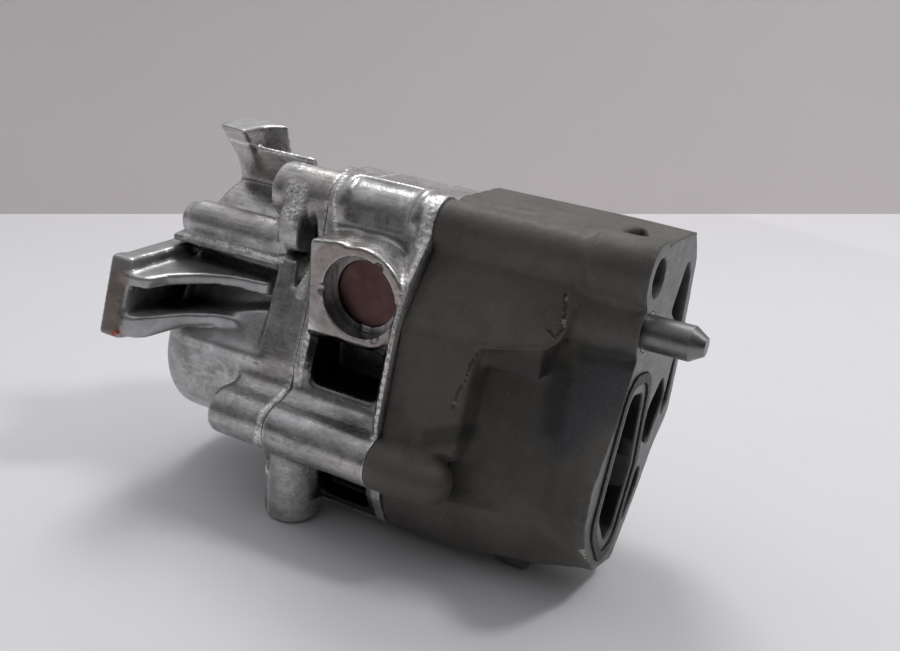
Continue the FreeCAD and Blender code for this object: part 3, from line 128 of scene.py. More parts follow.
# Flash and chips
FLASH_HEIGHT = 0.35 * MM
FLASH_LUMP_MM = 0.9
FLASH_LUMP_GAIN = 1.6
FLASH_LUMP_CUT = 0.4
GROOVE_DEPTH = 0.45 * MM
GROOVE_LUMP_MM = 1.4
GROOVE_LEAST = 0.5
SPECK_MM = 1.1
SPECK_RAMP = (0.58, 0.70)
SEAM_FLASH_REACH = 0.9 * MM
SEAM_FLASH = 0.7

# Openings that lie in the dark, painted with shade deep inside, each with the axis and side of its mouth
OPENING_MOUTHS = {"side_pocket": (1, -1), "skirt_window": (1, -1), "inlet_gallery": (0, 1),
                  "outlet_gallery_top": (0, 1), "outlet_gallery_low": (0, 1), "flange_pocket": (0, 1)}
OPENING_MARGIN = 3.0 * MM
OPENING_RAMP = (0.8 * MM, 4.0 * MM)
OPENING_DARK = 0.95

# Painted shade between the ribs of the arm and in the flange's mouths, both where walls close a point in
SHADE_RAYS = 12
SHADE_SEED = 5
SHADE_REACH = 16.0 * MM
SHADE_LIFT = 0.3 * MM
SHADE_LEAN = 1.1
RIB_SHADE_RAMP = (0.35, 0.80)
RIB_SHADE_DARK = 0.92
FLANGE_DEPTH = 14.0 * MM
FLANGE_SKIN = 0.3 * MM
FLANGE_MOUTHS_TOP = -12.0 * MM
FLANGE_RAMP = (0.12, 0.32)
FLANGE_DARK = 0.95

# Oiled part of the arm and rust-brown faces, as the start and end of each ramp
ARM_ALONG = (95.0 * MM, 99.0 * MM)
ARM_BELOW = (5.0 * MM, 6.5 * MM)
ARM_ABOVE = (-28.0 * MM, -26.0 * MM)
ARM_OUTWARD = (4.0 * MM, 7.0 * MM)
ARM_OILED = 0.3
PAD_BELOW = (6.0 * MM, 12.0 * MM)
PAD_BROWN = 0.75
PORT_FACE_RADIUS = 15.0 * MM
PORT_FACE_DEPTH = 1.5 * MM
PORT_FACE_BROWN = 0.45

# Flat faces, told by the part of the normal that points their way, and the machined ones among them
FACING = 0.9
STRIP_FACING = 0.8
FACE_DEPTH = 0.4 * MM
TOP_STRIP_Z = (13.0 * MM, 14.4 * MM)
TOP_STRIP_LENGTH = 7.0 * MM
TOP_PAD_DEPTH = 0.5 * MM
JOINT_FACE_DEPTH = 0.15 * MM

# Seats, bores and joint faces that the rounding leaves as they are
JOINT_HOLD = 0.3 * MM
PIN_HOLD_RADIUS = 5.2 * MM
COLUMN_HOLD_RADIUS = 4.8 * MM
PORT_HOLD_RADIUS = 10.4 * MM

# Cast skins
VOXEL = 0.42 * MM
FILLET_STEPS = {"front_cover": 30, "pump_body": 26, "rear_housing": 90}
ROUNDING_STEPS = {"front_cover": 11, "pump_body": 7, "rear_housing": 14}
FILLET_PULL = 0.7
ROUNDING_PULL = 0.5
STEPS_PER_NORMAL = 6
NEAR_STEPS = 10
WIDE_STEPS = 90
CONVEX_MM = (0.10, 0.30)
# Sink range over which hollows get painted shade
CAVITY_SHADE_MM = (0.15, 0.9)

# Stage and light
FLOOR_HALF = 3.0
FLOOR_COLOUR = (0.86, 0.85, 0.87)
WALL_HEIGHT = 0.17
WALL_MARGIN = 1.5
WALL_COLOUR = (0.92, 0.86, 0.85)
LIT_PLACE = (-0.06, 0.0, -0.02)
WORLD_COLOUR = (0.94, 0.96, 1.0, 1.0)
WORLD_BRIGHT_SIDE = (-0.4, 0.5, 0.77)
WORLD_BRIGHT = 0.88
WORLD_DIM = 0.06
WORLD_RISE = (-0.30, 0.95)
WORLD_CURVE = 1.9

# Sockets of the mix node that share a name
MIX_VALUES = (2, 3)
MIX_COLOURS = (6, 7)
MIXED_COLOUR = 2


# Mesh work
def points_of(mesh):
    """Vertex positions as an array."""
    flat = np.empty(len(mesh.vertices) * 3, np.float32)
    mesh.vertices.foreach_get("co", flat)
    return flat.reshape(-1, 3).astype(np.float64)


def set_points(mesh, points):
    mesh.vertices.foreach_set("co", points.astype(np.float32).ravel())
    mesh.update()


def normals_of(mesh):
    flat = np.empty(len(mesh.vertices) * 3, np.float32)
    mesh.vertex_normals.foreach_get("vector", flat)
    return flat.reshape(-1, 3).astype(np.float64)


def edges_of(mesh):
    flat = np.empty(len(mesh.edges) * 2, np.int32)
    mesh.edges.foreach_get("vertices", flat)
    return flat.reshape(-1, 2)


def neighbour_mean(values, edges, counts):
    """Mean of each vertex's neighbours."""
    total = np.zeros_like(values)
    for axis in range(values.shape[1]):
        total[:, axis] = np.bincount(edges[:, 0], values[edges[:, 1], axis], len(values))
        total[:, axis] += np.bincount(edges[:, 1], values[edges[:, 0], axis], len(values))
    return total / counts[:, None]


def smooth_values(values, edges, counts, steps):
    for _ in range(steps):
        values = 0.5 * values + 0.5 * neighbour_mean(values, edges, counts)
    return values


def set_mask(mesh, name, values):
    attribute = mesh.attributes.new(name, "FLOAT", "POINT")
    attribute.data.foreach_set("value", np.clip(values, 0.0, 1.0).astype(np.float32))


def ramp(values, low, high):
    """0 up to the low end, 1 from the high end."""
    return np.clip((values - low) / (high - low), 0.0, 1.0)


def lumps(points, mask, size_mm, seed):
    """Smooth noise between 0 and 1 at the masked points, 0 elsewhere."""
    made = np.zeros(len(points))
    shift = Vector((seed * 3.7, seed * 1.3, seed * 7.1))
    for i in np.nonzero(mask > 0.0)[0]:
        made[i] = noise.noise(Vector(points[i]) / (size_mm * MM) + shift) * 0.5 + 0.5
    return made


# Materials
class Shader:
    """One procedural material with a Principled surface."""

    def __init__(self, name, metallic, roughness, colour):
        self.material = bpy.data.materials.new(name)
        self.material.use_nodes = True
        self.tree = self.material.node_tree
        self.surface = self.tree.nodes["Principled BSDF"]
        self.surface.inputs["Metallic"].default_value = metallic
        self.surface.inputs["Roughness"].default_value = roughness
        self.surface.inputs["Base Color"].default_value = (*colour, 1.0)
        self.place = self.node("ShaderNodeTexCoord").outputs["Object"]
        self.material.diffuse_color = (*colour, 1.0)

    def node(self, kind):
        return self.tree.nodes.new(kind)

    def put(self, value, socket):
        """Links a socket, or sets a plain value."""
        if isinstance(value, bpy.types.NodeSocket):
            self.tree.links.new(value, socket)
        elif isinstance(value, tuple) and len(value) == 3:
            socket.default_value = (*value, 1.0)
        else:
            socket.default_value = value

    def noise(self, size_mm, detail=3.0, roughness=0.55, distortion=0.0):
        made = self.node("ShaderNodeTexNoise")
        self.put(self.place, made.inputs["Vector"])
        made.inputs["Scale"].default_value = 1.0 / (size_mm * MM)
        made.inputs["Detail"].default_value = detail
        made.inputs["Roughness"].default_value = roughness
        made.inputs["Distortion"].default_value = distortion
        return made.outputs["Fac"]

    def streaks(self, size_mm, stretch):
        """Noise drawn out along one axis, as tool marks are."""
        mapping = self.node("ShaderNodeMapping")
        self.put(self.place, mapping.inputs["Vector"])
        mapping.inputs["Scale"].default_value = stretch
        made = self.node("ShaderNodeTexNoise")
        self.put(mapping.outputs["Vector"], made.inputs["Vector"])
        made.inputs["Scale"].default_value = 1.0 / (size_mm * MM)
        made.inputs["Detail"].default_value = 4.0
        return made.outputs["Fac"]

    def mask(self, name):
        made = self.node("ShaderNodeAttribute")
        made.attribute_name = name
        return made.outputs["Fac"]

    def times(self, first, second):
        made = self.node("ShaderNodeMath")
        made.operation = "MULTIPLY"
        made.use_clamp = True
        self.put(first, made.inputs[0])
        self.put(second, made.inputs[1])
        return made.outputs["Value"]

    def between(self, value, low, high, out_low=0.0, out_high=1.0):
        made = self.node("ShaderNodeMapRange")
        self.put(value, made.inputs["Value"])
        made.inputs["From Min"].default_value = low
        made.inputs["From Max"].default_value = high
        made.inputs["To Min"].default_value = out_low
        made.inputs["To Max"].default_value = out_high
        return made.outputs["Result"]

    def mix(self, factor, first, second):
        """Mix of two colours."""
        made = self.node("ShaderNodeMix")
        made.data_type = "RGBA"
        self.put(factor, made.inputs["Factor"])
        for value, socket in zip((first, second), MIX_COLOURS):
            self.put(value, made.inputs[socket])
        return made.outputs[MIXED_COLOUR]

    def blend(self, factor, first, second):
        """Mix of two plain values."""
        made = self.node("ShaderNodeMix")
        self.put(factor, made.inputs["Factor"])
        for value, socket in zip((first, second), MIX_VALUES):
            self.put(value, made.inputs[socket])
        return made.outputs["Result"]

    def laid(self, under, paint, mask, strength=None):
        """A colour laid over another where the mask says, at a strength if one is given."""
        share = mask if strength is None else self.times(mask, strength)
        return self.mix(share, under, paint)

    def bump(self, height, distance_mm, strength, under=None):
        made = self.node("ShaderNodeBump")
        made.inputs["Strength"].default_value = strength
        made.inputs["Distance"].default_value = distance_mm * MM
        self.put(height, made.inputs["Height"])
        if under is not None:
            self.put(under, made.inputs["Normal"])
        return made.outputs["Normal"]

    def finish(self, colour, roughness=None, normal=None, metallic=None):
        """The material, with what is given linked to its surface."""
        given = {"Base Color": colour, "Roughness": roughness, "Normal": normal, "Metallic": metallic}
        for name, value in given.items():
            if value is not None:
                self.put(value, self.surface.inputs[name])
        return self.material


def cast_silver():
    """Raw die casting: mottled satin grey, rubbed bright edges, painted shade in hollows, openings and
    between the arm's ribs, and rough flash.
    """
    s = Shader("cast_silver", 1.0, 0.45, (0.55, 0.55, 0.56))
    cloud = s.between(s.noise(7.0, 4.0, 0.6, 0.6), 0.3, 0.7)
    warm = s.between(s.noise(16.0, 2.0, 0.5, 0.4), 0.45, 0.65)
    stain = s.between(s.noise(3.2, 5.0, 0.7, 1.2), 0.50, 0.70)
    drag = s.between(s.streaks(0.8, (0.10, 1.0, 1.0)), 0.50, 0.72)
    fine = s.noise(0.45, 3.0, 0.6)
    marks = s.between(s.streaks(1.2, (1.0, 0.12, 1.0)), 0.35, 0.65)
    oiled = s.mix(cloud, (0.32, 0.31, 0.305), (0.50, 0.50, 0.50))
    machined = s.mix(marks, (0.32, 0.32, 0.32), (0.50, 0.49, 0.48))
    brown = s.mix(cloud, (0.20, 0.15, 0.12), (0.28, 0.21, 0.18))
    colour = s.mix(cloud, (0.29, 0.28, 0.27), (0.60, 0.595, 0.595))
    colour = s.laid(colour, (0.42, 0.355, 0.33), warm, 0.45)
    colour = s.laid(colour, (0.20, 0.172, 0.158), stain, 0.62)
    colour = s.laid(colour, (0.78, 0.77, 0.76), drag, 0.35)
    colour = s.laid(colour, oiled, s.mask("oiled"))
    # Painted shade in hollows and inside corners
    colour = s.laid(colour, (0.055, 0.048, 0.043), s.mask("cavity_shade"), 0.88)
    colour = s.laid(colour, (0.90, 0.89, 0.88), s.mask("convex"), s.between(fine, 0.3, 0.6))
    colour = s.laid(colour, (0.98, 0.95, 0.92), s.mask("flash"), s.between(fine, 0.36, 0.56))
    colour = s.laid(colour, machined, s.mask("machined"))
    colour = s.laid(colour, brown, s.mask("brown"))
    colour = s.laid(colour, (0.42, 0.06, 0.04), s.mask("red"))
    # Painted shade deep in openings, between the arm's ribs and in the flange's mouths
    colour = s.laid(colour, (0.012, 0.011, 0.010), s.mask("deep_shade"))
    roughness = s.between(s.noise(1.6, 4.0, 0.65), 0.25, 0.75, 0.20, 0.42)
    for name, smoothness in (("oiled", 0.25), ("convex", 0.26), ("flash", 0.42), ("machined", 0.38)):
        roughness = s.blend(s.mask(name), roughness, smoothness)
    metallic = s.blend(s.mask("oiled"), 0.88, 0.62)
    grain = s.bump(fine, 0.045, 0.6)
    skin = s.bump(s.noise(1.5, 4.0, 0.6, 0.8), 0.15, 0.55, grain)
    return s.finish(colour, roughness, skin, metallic)


def cast_dark():
    """Blasted dark casting: warm dark grey with a fine grain and worn edges, with painted shade in
    hollows, openings, below steps and in chips.
    """
    s = Shader("cast_dark", 0.40, 0.5, (0.11, 0.105, 0.098))
    s.surface.inputs["Specular IOR Level"].default_value = 0.3
    cloud = s.between(s.noise(14.0, 4.0, 0.6, 0.5), 0.3, 0.7)
    grain = s.noise(0.30, 2.0, 0.6)
    speckle = s.between(grain, 0.58, 0.78)
    rub = s.between(s.noise(5.0, 5.0, 0.7, 1.0), 0.56, 0.74)
    residue = s.between(s.noise(4.5, 4.0, 0.65, 1.0), 0.46, 0.60)
    marks = s.between(s.streaks(1.0, (1.0, 0.15, 1.0)), 0.35, 0.65)
    cool = s.mix(speckle, (0.072, 0.076, 0.090), (0.24, 0.25, 0.28))
    machined = s.mix(marks, (0.065, 0.065, 0.063), (0.13, 0.13, 0.127))
    machined = s.laid(machined, (0.035, 0.033, 0.031), residue, 0.7)
    colour = s.mix(cloud, (0.098, 0.091, 0.081), (0.138, 0.130, 0.117))
    colour = s.laid(colour, (0.34, 0.32, 0.30), speckle, 0.40)
    colour = s.laid(colour, (0.20, 0.19, 0.175), rub, 0.30)
    # Painted shade in hollows and inside corners
    colour = s.laid(colour, (0.026, 0.025, 0.023), s.mask("cavity_shade"), 0.8)
    colour = s.laid(colour, cool, s.mask("cool"), 0.7)
    # Painted shade below steps, beside the panel, under the boss and bulge, and in the chip grooves
    colour = s.laid(colour, (0.035, 0.033, 0.030), s.mask("shade"), 0.6)
    colour = s.laid(colour, (0.30, 0.28, 0.26), s.mask("convex"), 0.42)
    colour = s.laid(colour, (0.80, 0.74, 0.62), s.mask("flash"), s.between(grain, 0.42, 0.58))
    colour = s.laid(colour, machined, s.mask("machined"))
    # Painted shade deep in openings and in the flange's mouths
    colour = s.laid(colour, (0.010, 0.009, 0.008), s.mask("deep_shade"))
    roughness = s.between(s.noise(2.0, 4.0, 0.65), 0.25, 0.75, 0.50, 0.68)
    roughness = s.blend(s.mask("machined"), roughness, 0.34)
    metallic = s.blend(s.mask("machined"), 0.40, 1.0)
    fine = s.bump(grain, 0.07, 0.6)
    skin = s.bump(s.noise(2.4, 4.0, 0.6, 0.6), 0.14, 0.5, fine)
    return s.finish(colour, roughness, skin, metallic)


def ground_steel(name, dark, light, roughness, ring_mm=0.6):
    """Turned or ground steel with fine rings along X."""
    s = Shader(name, 1.0, roughness, light)
    marks = s.streaks(ring_mm, (1.0, 0.08, 0.08))
    film = s.between(s.noise(5.0, 4.0, 0.6), 0.35, 0.7)
    colour = s.mix(s.between(marks, 0.35, 0.65), dark, light)
    colour = s.laid(colour, dark, film, 0.4)
    rough = s.between(s.noise(2.0, 4.0, 0.6), 0.3, 0.7, roughness - 0.06, roughness + 0.10)
    return s.finish(colour, rough, s.bump(marks, 0.02, 0.5))


def cap_metal():
    """Pressed cap, smooth and glossy under a brown oil film."""
    s = Shader("cap_metal", 1.0, 0.30, (0.16, 0.09, 0.085))
    film = s.between(s.noise(9.0, 2.0, 0.5, 0.8), 0.3, 0.7)
    colour = s.mix(film, (0.068, 0.033, 0.031), (0.112, 0.068, 0.063))
    rough = s.between(s.noise(1.0, 4.0, 0.6), 0.3, 0.7, 0.26, 0.38)
    return s.finish(colour, rough, s.bump(s.noise(6.0, 1.0), 0.05, 0.2))


def bronze():
    """Sintered bronze with small open pores."""
    s = Shader("bush_bronze", 1.0, 0.4, (0.50, 0.33, 0.17))
    colour = s.mix(s.between(s.noise(0.4, 3.0), 0.35, 0.65), (0.36, 0.23, 0.11), (0.58, 0.40, 0.21))
    return s.finish(colour, s.between(s.noise(1.0), 0.3, 0.7, 0.32, 0.5), s.bump(s.noise(0.3), 0.03, 0.5))


def black_rubber():
    """Moulded rubber with a dusty bloom."""
    s = Shader("black_rubber", 0.0, 0.6, (0.02, 0.02, 0.02))
    colour = s.mix(s.between(s.noise(1.5, 4.0), 0.35, 0.7), (0.014, 0.014, 0.014), (0.045, 0.043, 0.04))
    return s.finish(colour, s.between(s.noise(0.8), 0.3, 0.7, 0.45, 0.7), s.bump(s.noise(0.25), 0.03, 0.5))


# Marks laid on a skin where the photograph shows them
def pixel_ray(column, row):
    """Direction from the camera through one pixel of the photograph."""
    focal = LENS_MM / SENSOR_MM * IMAGE_WIDTH
    right = Vector(CAMERA_RIGHT) * ((column - IMAGE_WIDTH / 2.0) / focal)
    up = Vector(CAMERA_UP) * ((IMAGE_HEIGHT / 2.0 - row) / focal)
    return right + up - Vector(CAMERA_BACK)


def traced(piece, pixels):
    """Places on the piece under a line of pixels; pixels that miss it are left out."""
    places = []
    for (c0, r0), (c1, r1) in zip(pixels, pixels[1:]):
        steps = max(int(math.hypot(c1 - c0, r1 - r0) / TRACE_STEP), 1)
        for step in range(steps + 1):
            share = step / steps
            ray = pixel_ray(c0 + (c1 - c0) * share, r0 + (r1 - r0) * share)
            hit, place, _, _ = piece.ray_cast(Vector(CAMERA_PLACE), ray.normalized())
            if hit:
                places.append(place)
    return np.array(places).reshape(-1, 3)


def beside(points, places, reach):
    """1 on and close to the traced line, falling to 0 at the reach."""
    mask = np.zeros(len(points))
    for place in places:
        close = np.nonzero(np.abs(points[:, 0] - place[0]) < reach)[0]
        distance = np.linalg.norm(points[close] - place, axis=1)
        mask[close] = np.maximum(mask[close], np.clip(1.0 - distance / reach, 0.0, 1.0))
    return np.minimum(MARK_GAIN * mask, 1.0)


def all_marks(piece, points, marks):
    """Strongest of several traced marks at each point."""
    mask = np.zeros(len(points))
    for pixels, reach_mm in marks:
        mask = np.maximum(mask, beside(points, traced(piece, pixels), reach_mm * MM))
    return mask


# Cast skins
def remeshed(source, name):
    """Even fine mesh of a node's shape, as a new object."""
    made = bpy.data.objects.new(name, source.data.copy())
    bpy.context.scene.collection.objects.link(made)
    modifier = made.modifiers.new("remesh", "REMESH")
    modifier.mode = "VOXEL"
    modifier.voxel_size = VOXEL
    graph = bpy.context.evaluated_depsgraph_get()
    fine = bpy.data.meshes.new_from_object(made.evaluated_get(graph))
    made.modifiers.clear()
    made.data = fine
    return made


def round_edges(mesh, held, node):
    """Fills inside corners as a casting's fillets do, then takes the edge off the outside ones."""
    points = points_of(mesh)
    edges = edges_of(mesh)
    counts = np.bincount(edges.ravel(), minlength=len(points)).astype(float)
    free = (1.0 - held)[:, None]
    for step in range(FILLET_STEPS[node]):
        if step % STEPS_PER_NORMAL == 0:
            set_points(mesh, points)
            normals = normals_of(mesh)
        pull = neighbour_mean(points, edges, counts) - points
        outward = np.sum(pull * normals, axis=1, keepdims=True)
        points = points + FILLET_PULL * free * np.maximum(outward, 0.0) * normals
    for _ in range(ROUNDING_STEPS[node]):
        points = points + ROUNDING_PULL * free * (neighbour_mean(points, edges, counts) - points)
    points = points + ROUNDING_PULL * (neighbour_mean(points, edges, counts) - points)
    set_points(mesh, points)
    return points, edges, counts


def form_masks(mesh, points, edges, counts):
    """Normals, and how far each point stands out of, or lies within, its surroundings; how far it lies
    within sets painted shade in hollows.
    """
    normals = normals_of(mesh)
    near = smooth_values(points, edges, counts, NEAR_STEPS)
    stand = np.sum((points - near) * normals, axis=1) / MM
    wide = smooth_values(points, edges, counts, WIDE_STEPS)
    sunk = -np.sum((points - wide) * normals, axis=1) / MM
    return normals, ramp(stand, *CONVEX_MM), ramp(sunk, *CAVITY_SHADE_MM)


def in_cylinder(points, axis, centre, radius):
    """True inside an endless cylinder along one axis; centre holds the other two coordinates."""
    others = [a for a in range(3) if a != axis]
    flat = points[:, others] - np.array(centre)
    return np.hypot(flat[:, 0], flat[:, 1]) < radius


def fitted_zones(points, node):
    """1 on seats, bores and joint faces, which stay as machined."""
    held = np.zeros(len(points), bool)
    for plane in (SEAM_X, REAR_X, FLANGE_X):
        held |= np.abs(points[:, 0] - plane) < JOINT_HOLD
    held |= in_cylinder(points, 0, PIN_CENTRE, PIN_HOLD_RADIUS)
    held |= in_cylinder(points, 0, COLUMN_CENTRE, COLUMN_HOLD_RADIUS)
    if node == "pump_body":
        held |= in_cylinder(points, 1, PORT_CENTRE, PORT_HOLD_RADIUS)
    return held.astype(float)


def raise_flash(mesh, points, held, flash, grooves):
    """Rough ridges of flash, and grooves where the casting is chipped."""
    normals = normals_of(mesh)
    rough = lumps(points, flash, FLASH_LUMP_MM, 1)
    lift = FLASH_HEIGHT * flash * (FLASH_LUMP_GAIN * rough - FLASH_LUMP_CUT)
    broken = lumps(points, grooves, GROOVE_LUMP_MM, 2)
    lift -= GROOVE_DEPTH * grooves * np.clip(GROOVE_LEAST + broken, 0.0, 1.0)
    points = points + (lift * (1.0 - held))[:, None] * normals
    set_points(mesh, points)
    return points


def seam_flash(points, node):
    """Thin flash left along the joint between cover and body."""
    if node == "rear_housing":
        return np.zeros(len(points))
    return SEAM_FLASH * np.clip(1.0 - np.abs(points[:, 0] - SEAM_X) / SEAM_FLASH_REACH, 0.0, 1.0)


def machined_mask(points, normals, node):
    """1 on the flange's face, the top strip, the top pad and the cover's joint."""
    x, _, z = points.T
    mask = (np.abs(normals[:, 0]) > FACING) & (np.abs(x - SEAM_X) < JOINT_FACE_DEPTH)
    if node == "rear_housing":
        mask |= (normals[:, 0] > FACING) & (x > FLANGE_X - FACE_DEPTH)
        strip = (z > TOP_STRIP_Z[0]) & (z < TOP_STRIP_Z[1]) & (x < REAR_X + TOP_STRIP_LENGTH)
        mask |= (normals[:, 2] > STRIP_FACING) & strip
    if node == "front_cover":
        mask |= (normals[:, 2] > FACING) & (z > TOP_Z - TOP_PAD_DEPTH)
    return mask.astype(float)


def depth_mask(points):
    """1 well inside the stated openings, 0 at their mouths and outside them; it sets painted shade."""
    mask = np.zeros(len(points))
    for opening in frame["record"]["physics"]["openings"]:
        if opening["name"] not in OPENING_MOUTHS:
            continue
        axis, side = OPENING_MOUTHS[opening["name"]]
        low, high = (np.array(corner) for corner in opening["box_m"])
        mouth = high[axis] if side > 0 else low[axis]
        depth = (mouth - points[:, axis]) * side
        inside = depth > 0.0
        for other in range(3):
            inside &= points[:, other] > low[other] - OPENING_MARGIN
            inside &= points[:, other] < high[other] + OPENING_MARGIN
        mask = np.maximum(mask, inside * ramp(depth, *OPENING_RAMP))
    return mask


def closed_in(piece, points, normals, region):
    """Share of the open side of each point in a region that other walls close in."""
    closed = np.zeros(len(points))
    turns = np.random.default_rng(SHADE_SEED).normal(size=(SHADE_RAYS, 3))
    turns /= np.linalg.norm(turns, axis=1, keepdims=True)
    for i in np.nonzero(region)[0]:
        start = Vector(points[i] + SHADE_LIFT * normals[i])
        for turn in turns:
            ray = Vector(turn + SHADE_LEAN * normals[i]).normalized()
            closed[i] += piece.ray_cast(start, ray, distance=SHADE_REACH)[0]
    return closed / SHADE_RAYS


def place_masks(piece, points, normals, node):
    """Painted shade deep in openings, between the arm's ribs and in the flange's mouths; oiled and
    rust-brown parts of one casting, by place.
    """
    x, y, z = points.T
    masks = {"deep_shade": OPENING_DARK * depth_mask(points)}
    facing = normals[:, 1] < -FACING
    if node == "front_cover":
        arm = ramp(-x, *ARM_ALONG) * ramp(-z, *ARM_BELOW) * ramp(z, *ARM_ABOVE)
        masks["oiled"] = arm * ramp(-y, *ARM_OUTWARD)
        closed = closed_in(piece, points, normals, masks["oiled"] > ARM_OILED)
        # Painted shade between the arm's ribs, where walls close a point in
        masks["deep_shade"] = np.maximum(masks["deep_shade"], RIB_SHADE_DARK * ramp(closed, *RIB_SHADE_RAMP))
        masks["brown"] = PAD_BROWN * facing * (x < ARM_PAD_X) * ramp(-z, *PAD_BELOW)
    if node == "rear_housing":
        mouths = (x > FLANGE_X - FLANGE_DEPTH) & (x < FLANGE_X - FLANGE_SKIN) & (z < FLANGE_MOUTHS_TOP)
        closed = closed_in(piece, points, normals, mouths)
        # Painted shade in the flange's mouths, where walls close a point in
        masks["deep_shade"] = np.maximum(masks["deep_shade"], FLANGE_DARK * ramp(closed, *FLANGE_RAMP))
    if node == "pump_body":
        face = facing & in_cylinder(points, 1, PORT_CENTRE, PORT_FACE_RADIUS)
        masks["brown"] = PORT_FACE_BROWN * (face & (y < PORT_FACE_Y + PORT_FACE_DEPTH))
    return masks


def cast_skin(node, material):
    """Skin of one casting with its fillets, masks and material; it stands for the node."""
    piece = remeshed(frame["nodes"][node], node + "_skin")
    mesh = piece.data
    held = fitted_zones(points_of(mesh), node)
    points, edges, counts = round_edges(mesh, held, node)
    bpy.context.view_layer.update()
    flash = np.maximum(seam_flash(points, node), all_marks(piece, points, BRIGHT_MARKS[node]))
    grooves = all_marks(piece, points, GROOVES.get(node, ()))
    masks = {name: all_marks(piece, points, marks) for name, marks in TINTS_AND_SHADES.get(node, {}).items()}
    points = raise_flash(mesh, points, held, flash, grooves)
    normals, convex, cavity_shade = form_masks(mesh, points, edges, counts)
    machined = machined_mask(points, normals, node)
    specks = grooves * ramp(lumps(points, grooves, SPECK_MM, 3), *SPECK_RAMP)
    masks["convex"] = convex
    # Hollows get painted shade, except on machined faces
    masks["cavity_shade"] = cavity_shade * (1.0 - machined)
    masks["machined"] = machined
    masks["flash"] = np.maximum(flash, specks)
    # The chip grooves take painted shade as well
    masks["shade"] = np.maximum(masks.get("shade", 0.0), grooves)
    masks.update(place_masks(piece, points, normals, node))
    for name, values in masks.items():
        set_mask(mesh, name, values)
    mesh.polygons.foreach_set("use_smooth", np.ones(len(mesh.polygons), bool))
    mesh.materials.clear()
    mesh.materials.append(material)
    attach(piece, "housing")
    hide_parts(node)


# Parts that keep their CAD shape
def dress(node, material):
    target = frame["nodes"][node]
    target.data.materials.clear()
    target.data.materials.append(material)


def dress_plain_parts():
    gear = ground_steel("gear_steel", (0.30, 0.29, 0.28), (0.52, 0.51, 0.50), 0.34)
    shaft = ground_steel("shaft_steel", (0.40, 0.40, 0.40), (0.64, 0.64, 0.64), 0.26)
    pin = ground_steel("pin_steel", (0.20, 0.20, 0.198), (0.26, 0.258, 0.255), 0.36, 0.12)
    screw = ground_steel("screw_steel", (0.05, 0.05, 0.055), (0.12, 0.12, 0.125), 0.42)
    spring = ground_steel("spring_steel", (0.16, 0.15, 0.14), (0.34, 0.33, 0.32), 0.34)
    finishes = {
        gear: ["drive_gear", "driven_gear", "wear_plate"],
        shaft: ["drive_shaft", "driven_shaft", "drive_key", "valve_piston"],
        pin: ["locating_pin", "dowel_sleeves"],
        screw: ["assembly_screws"],
        spring: ["valve_spring", "cap_circlip"],
        black_rubber(): ["shaft_seal", "cover_seal", "port_seals", "flange_seal"],
        bronze(): ["drive_front_bush", "driven_front_bush", "drive_rear_bush", "driven_rear_bush"],
        cap_metal(): ["valve_cap"],
    }
    for material, nodes in finishes.items():
        for node in nodes:
            dress(node, material)


# Stage, light and camera
def plain_paint(name, colour):
    """Matt paint with a very faint cloud."""
    s = Shader(name, 0.0, 0.7, colour)
    cloud = s.between(s.noise(60.0, 3.0), 0.3, 0.7)
    s.finish(s.mix(cloud, tuple(c * 0.985 for c in colour), colour))
    return s


def clear_from_behind(s):
    """Lets the view through the back of a sheet."""
    side = s.node("ShaderNodeNewGeometry")
    clear = s.node("ShaderNodeBsdfTransparent")
    mix = s.node("ShaderNodeMixShader")
    s.put(side.outputs["Backfacing"], mix.inputs[0])
    s.put(s.surface.outputs[0], mix.inputs[1])
    s.put(clear.outputs[0], mix.inputs[2])
    s.put(mix.outputs[0], s.tree.nodes["Material Output"].inputs["Surface"])


def flat_piece(name, corners, material):
    mesh = bpy.data.meshes.new(name)
    mesh.from_pydata(corners, [], [tuple(range(len(corners)))])
    made = bpy.data.objects.new(name, mesh)
    bpy.context.scene.collection.objects.link(made)
    mesh.materials.append(material)
    return made


def floor_point(column, row):
    """Where the photograph's pixel meets the floor."""
    ray = pixel_ray(column, row)
    place = Vector(CAMERA_PLACE)
    return place + ray * ((FLOOR_Z - place.z) / ray.z)


def make_stage():
    """Pale floor, and a low wall at the photograph's line that casts no shadow."""
    signs = ((-1.0, -1.0), (1.0, -1.0), (1.0, 1.0), (-1.0, 1.0))
    corners = [(x * FLOOR_HALF, y * FLOOR_HALF, FLOOR_Z) for x, y in signs]
    flat_piece("floor", corners, plain_paint("floor_paint", FLOOR_COLOUR).material)
    left = floor_point(0, WALL_ROW)
    right = floor_point(IMAGE_WIDTH, WALL_ROW)
    along = (right - left).normalized()
    left = left - along * WALL_MARGIN
    right = right + along * WALL_MARGIN
    rise = Vector((0.0, 0.0, WALL_HEIGHT))
    paint = plain_paint("wall_paint", WALL_COLOUR)
    clear_from_behind(paint)
    corners = [tuple(left), tuple(right), tuple(right + rise), tuple(left + rise)]
    wall = flat_piece("wall", corners, paint.material)
    wall.visible_shadow = False


def lamp(name, place, width, energy):
    """Square soft lamp, turned to the pump."""
    data = bpy.data.lights.new(name, "AREA")
    data.shape = "RECTANGLE"
    data.size = width
    data.size_y = width
    data.energy = energy
    made = bpy.data.objects.new(name, data)
    bpy.context.scene.collection.objects.link(made)
    made.location = place
    made.rotation_euler = (Vector(LIT_PLACE) - Vector(place)).to_track_quat("-Z", "Y").to_euler()


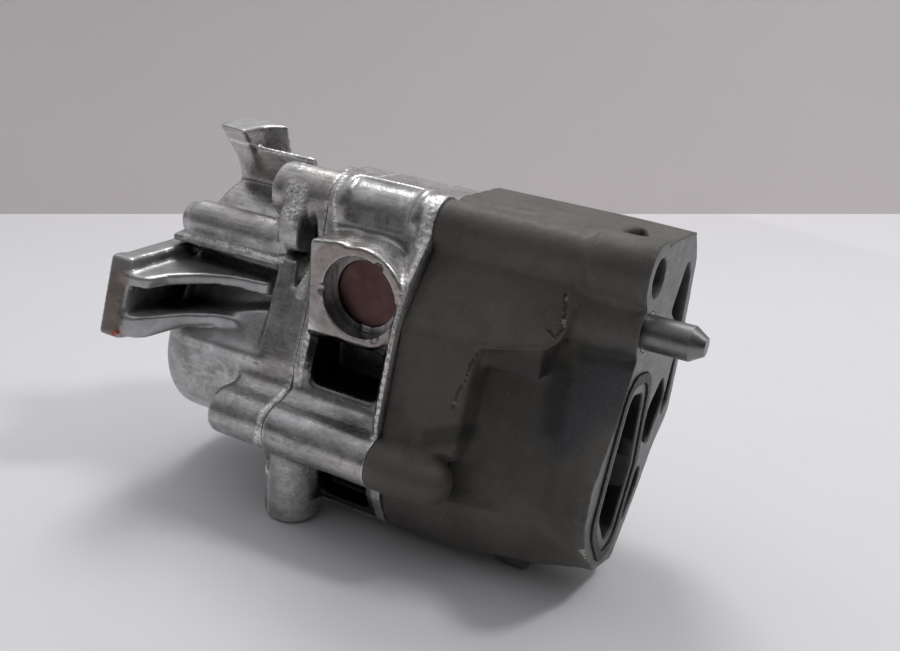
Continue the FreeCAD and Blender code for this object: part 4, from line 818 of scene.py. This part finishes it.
def make_world():
    """Soft studio surround, bright overhead and behind, dim on the camera's side."""
    world = bpy.data.worlds.new("studio")
    world.use_nodes = True
    tree = world.node_tree
    place = tree.nodes.new("ShaderNodeTexCoord")
    along = tree.nodes.new("ShaderNodeVectorMath")
    along.operation = "DOT_PRODUCT"
    along.inputs[1].default_value = Vector(WORLD_BRIGHT_SIDE).normalized()
    rise = tree.nodes.new("ShaderNodeMapRange")
    rise.inputs["From Min"].default_value = WORLD_RISE[0]
    rise.inputs["From Max"].default_value = WORLD_RISE[1]
    curve = tree.nodes.new("ShaderNodeMath")
    curve.operation = "POWER"
    curve.inputs[1].default_value = WORLD_CURVE
    strength = tree.nodes.new("ShaderNodeMapRange")
    strength.inputs["To Min"].default_value = WORLD_DIM
    strength.inputs["To Max"].default_value = WORLD_BRIGHT
    background = tree.nodes["Background"]
    background.inputs["Color"].default_value = WORLD_COLOUR
    tree.links.new(place.outputs["Generated"], along.inputs[0])
    tree.links.new(along.outputs["Value"], rise.inputs["Value"])
    tree.links.new(rise.outputs["Result"], curve.inputs[0])
    tree.links.new(curve.outputs["Value"], strength.inputs["Value"])
    tree.links.new(strength.outputs["Result"], background.inputs["Strength"])
    bpy.context.scene.world = world


def make_light():
    make_world()
    lamp("key", (-0.41, 0.52, 0.82), 0.30, 2.9)
    lamp("right", (0.50, 0.35, 0.95), 0.18, 3.0)


def make_camera():
    data = bpy.data.cameras.new("camera")
    data.lens = LENS_MM
    data.sensor_width = SENSOR_MM
    data.clip_start = 0.01
    made = bpy.data.objects.new("camera", data)
    bpy.context.scene.collection.objects.link(made)
    turn = Matrix((CAMERA_RIGHT, CAMERA_UP, CAMERA_BACK)).transposed().to_4x4()
    made.matrix_world = Matrix.Translation(CAMERA_PLACE) @ turn
    bpy.context.scene.camera = made


make_camera()
make_stage()
make_light()
SILVER = cast_silver()
DARK = cast_dark()
dress_plain_parts()
cast_skin("front_cover", SILVER)
cast_skin("pump_body", SILVER)
cast_skin("rear_housing", DARK)

bpy.context.scene.view_settings.view_transform = "Standard"
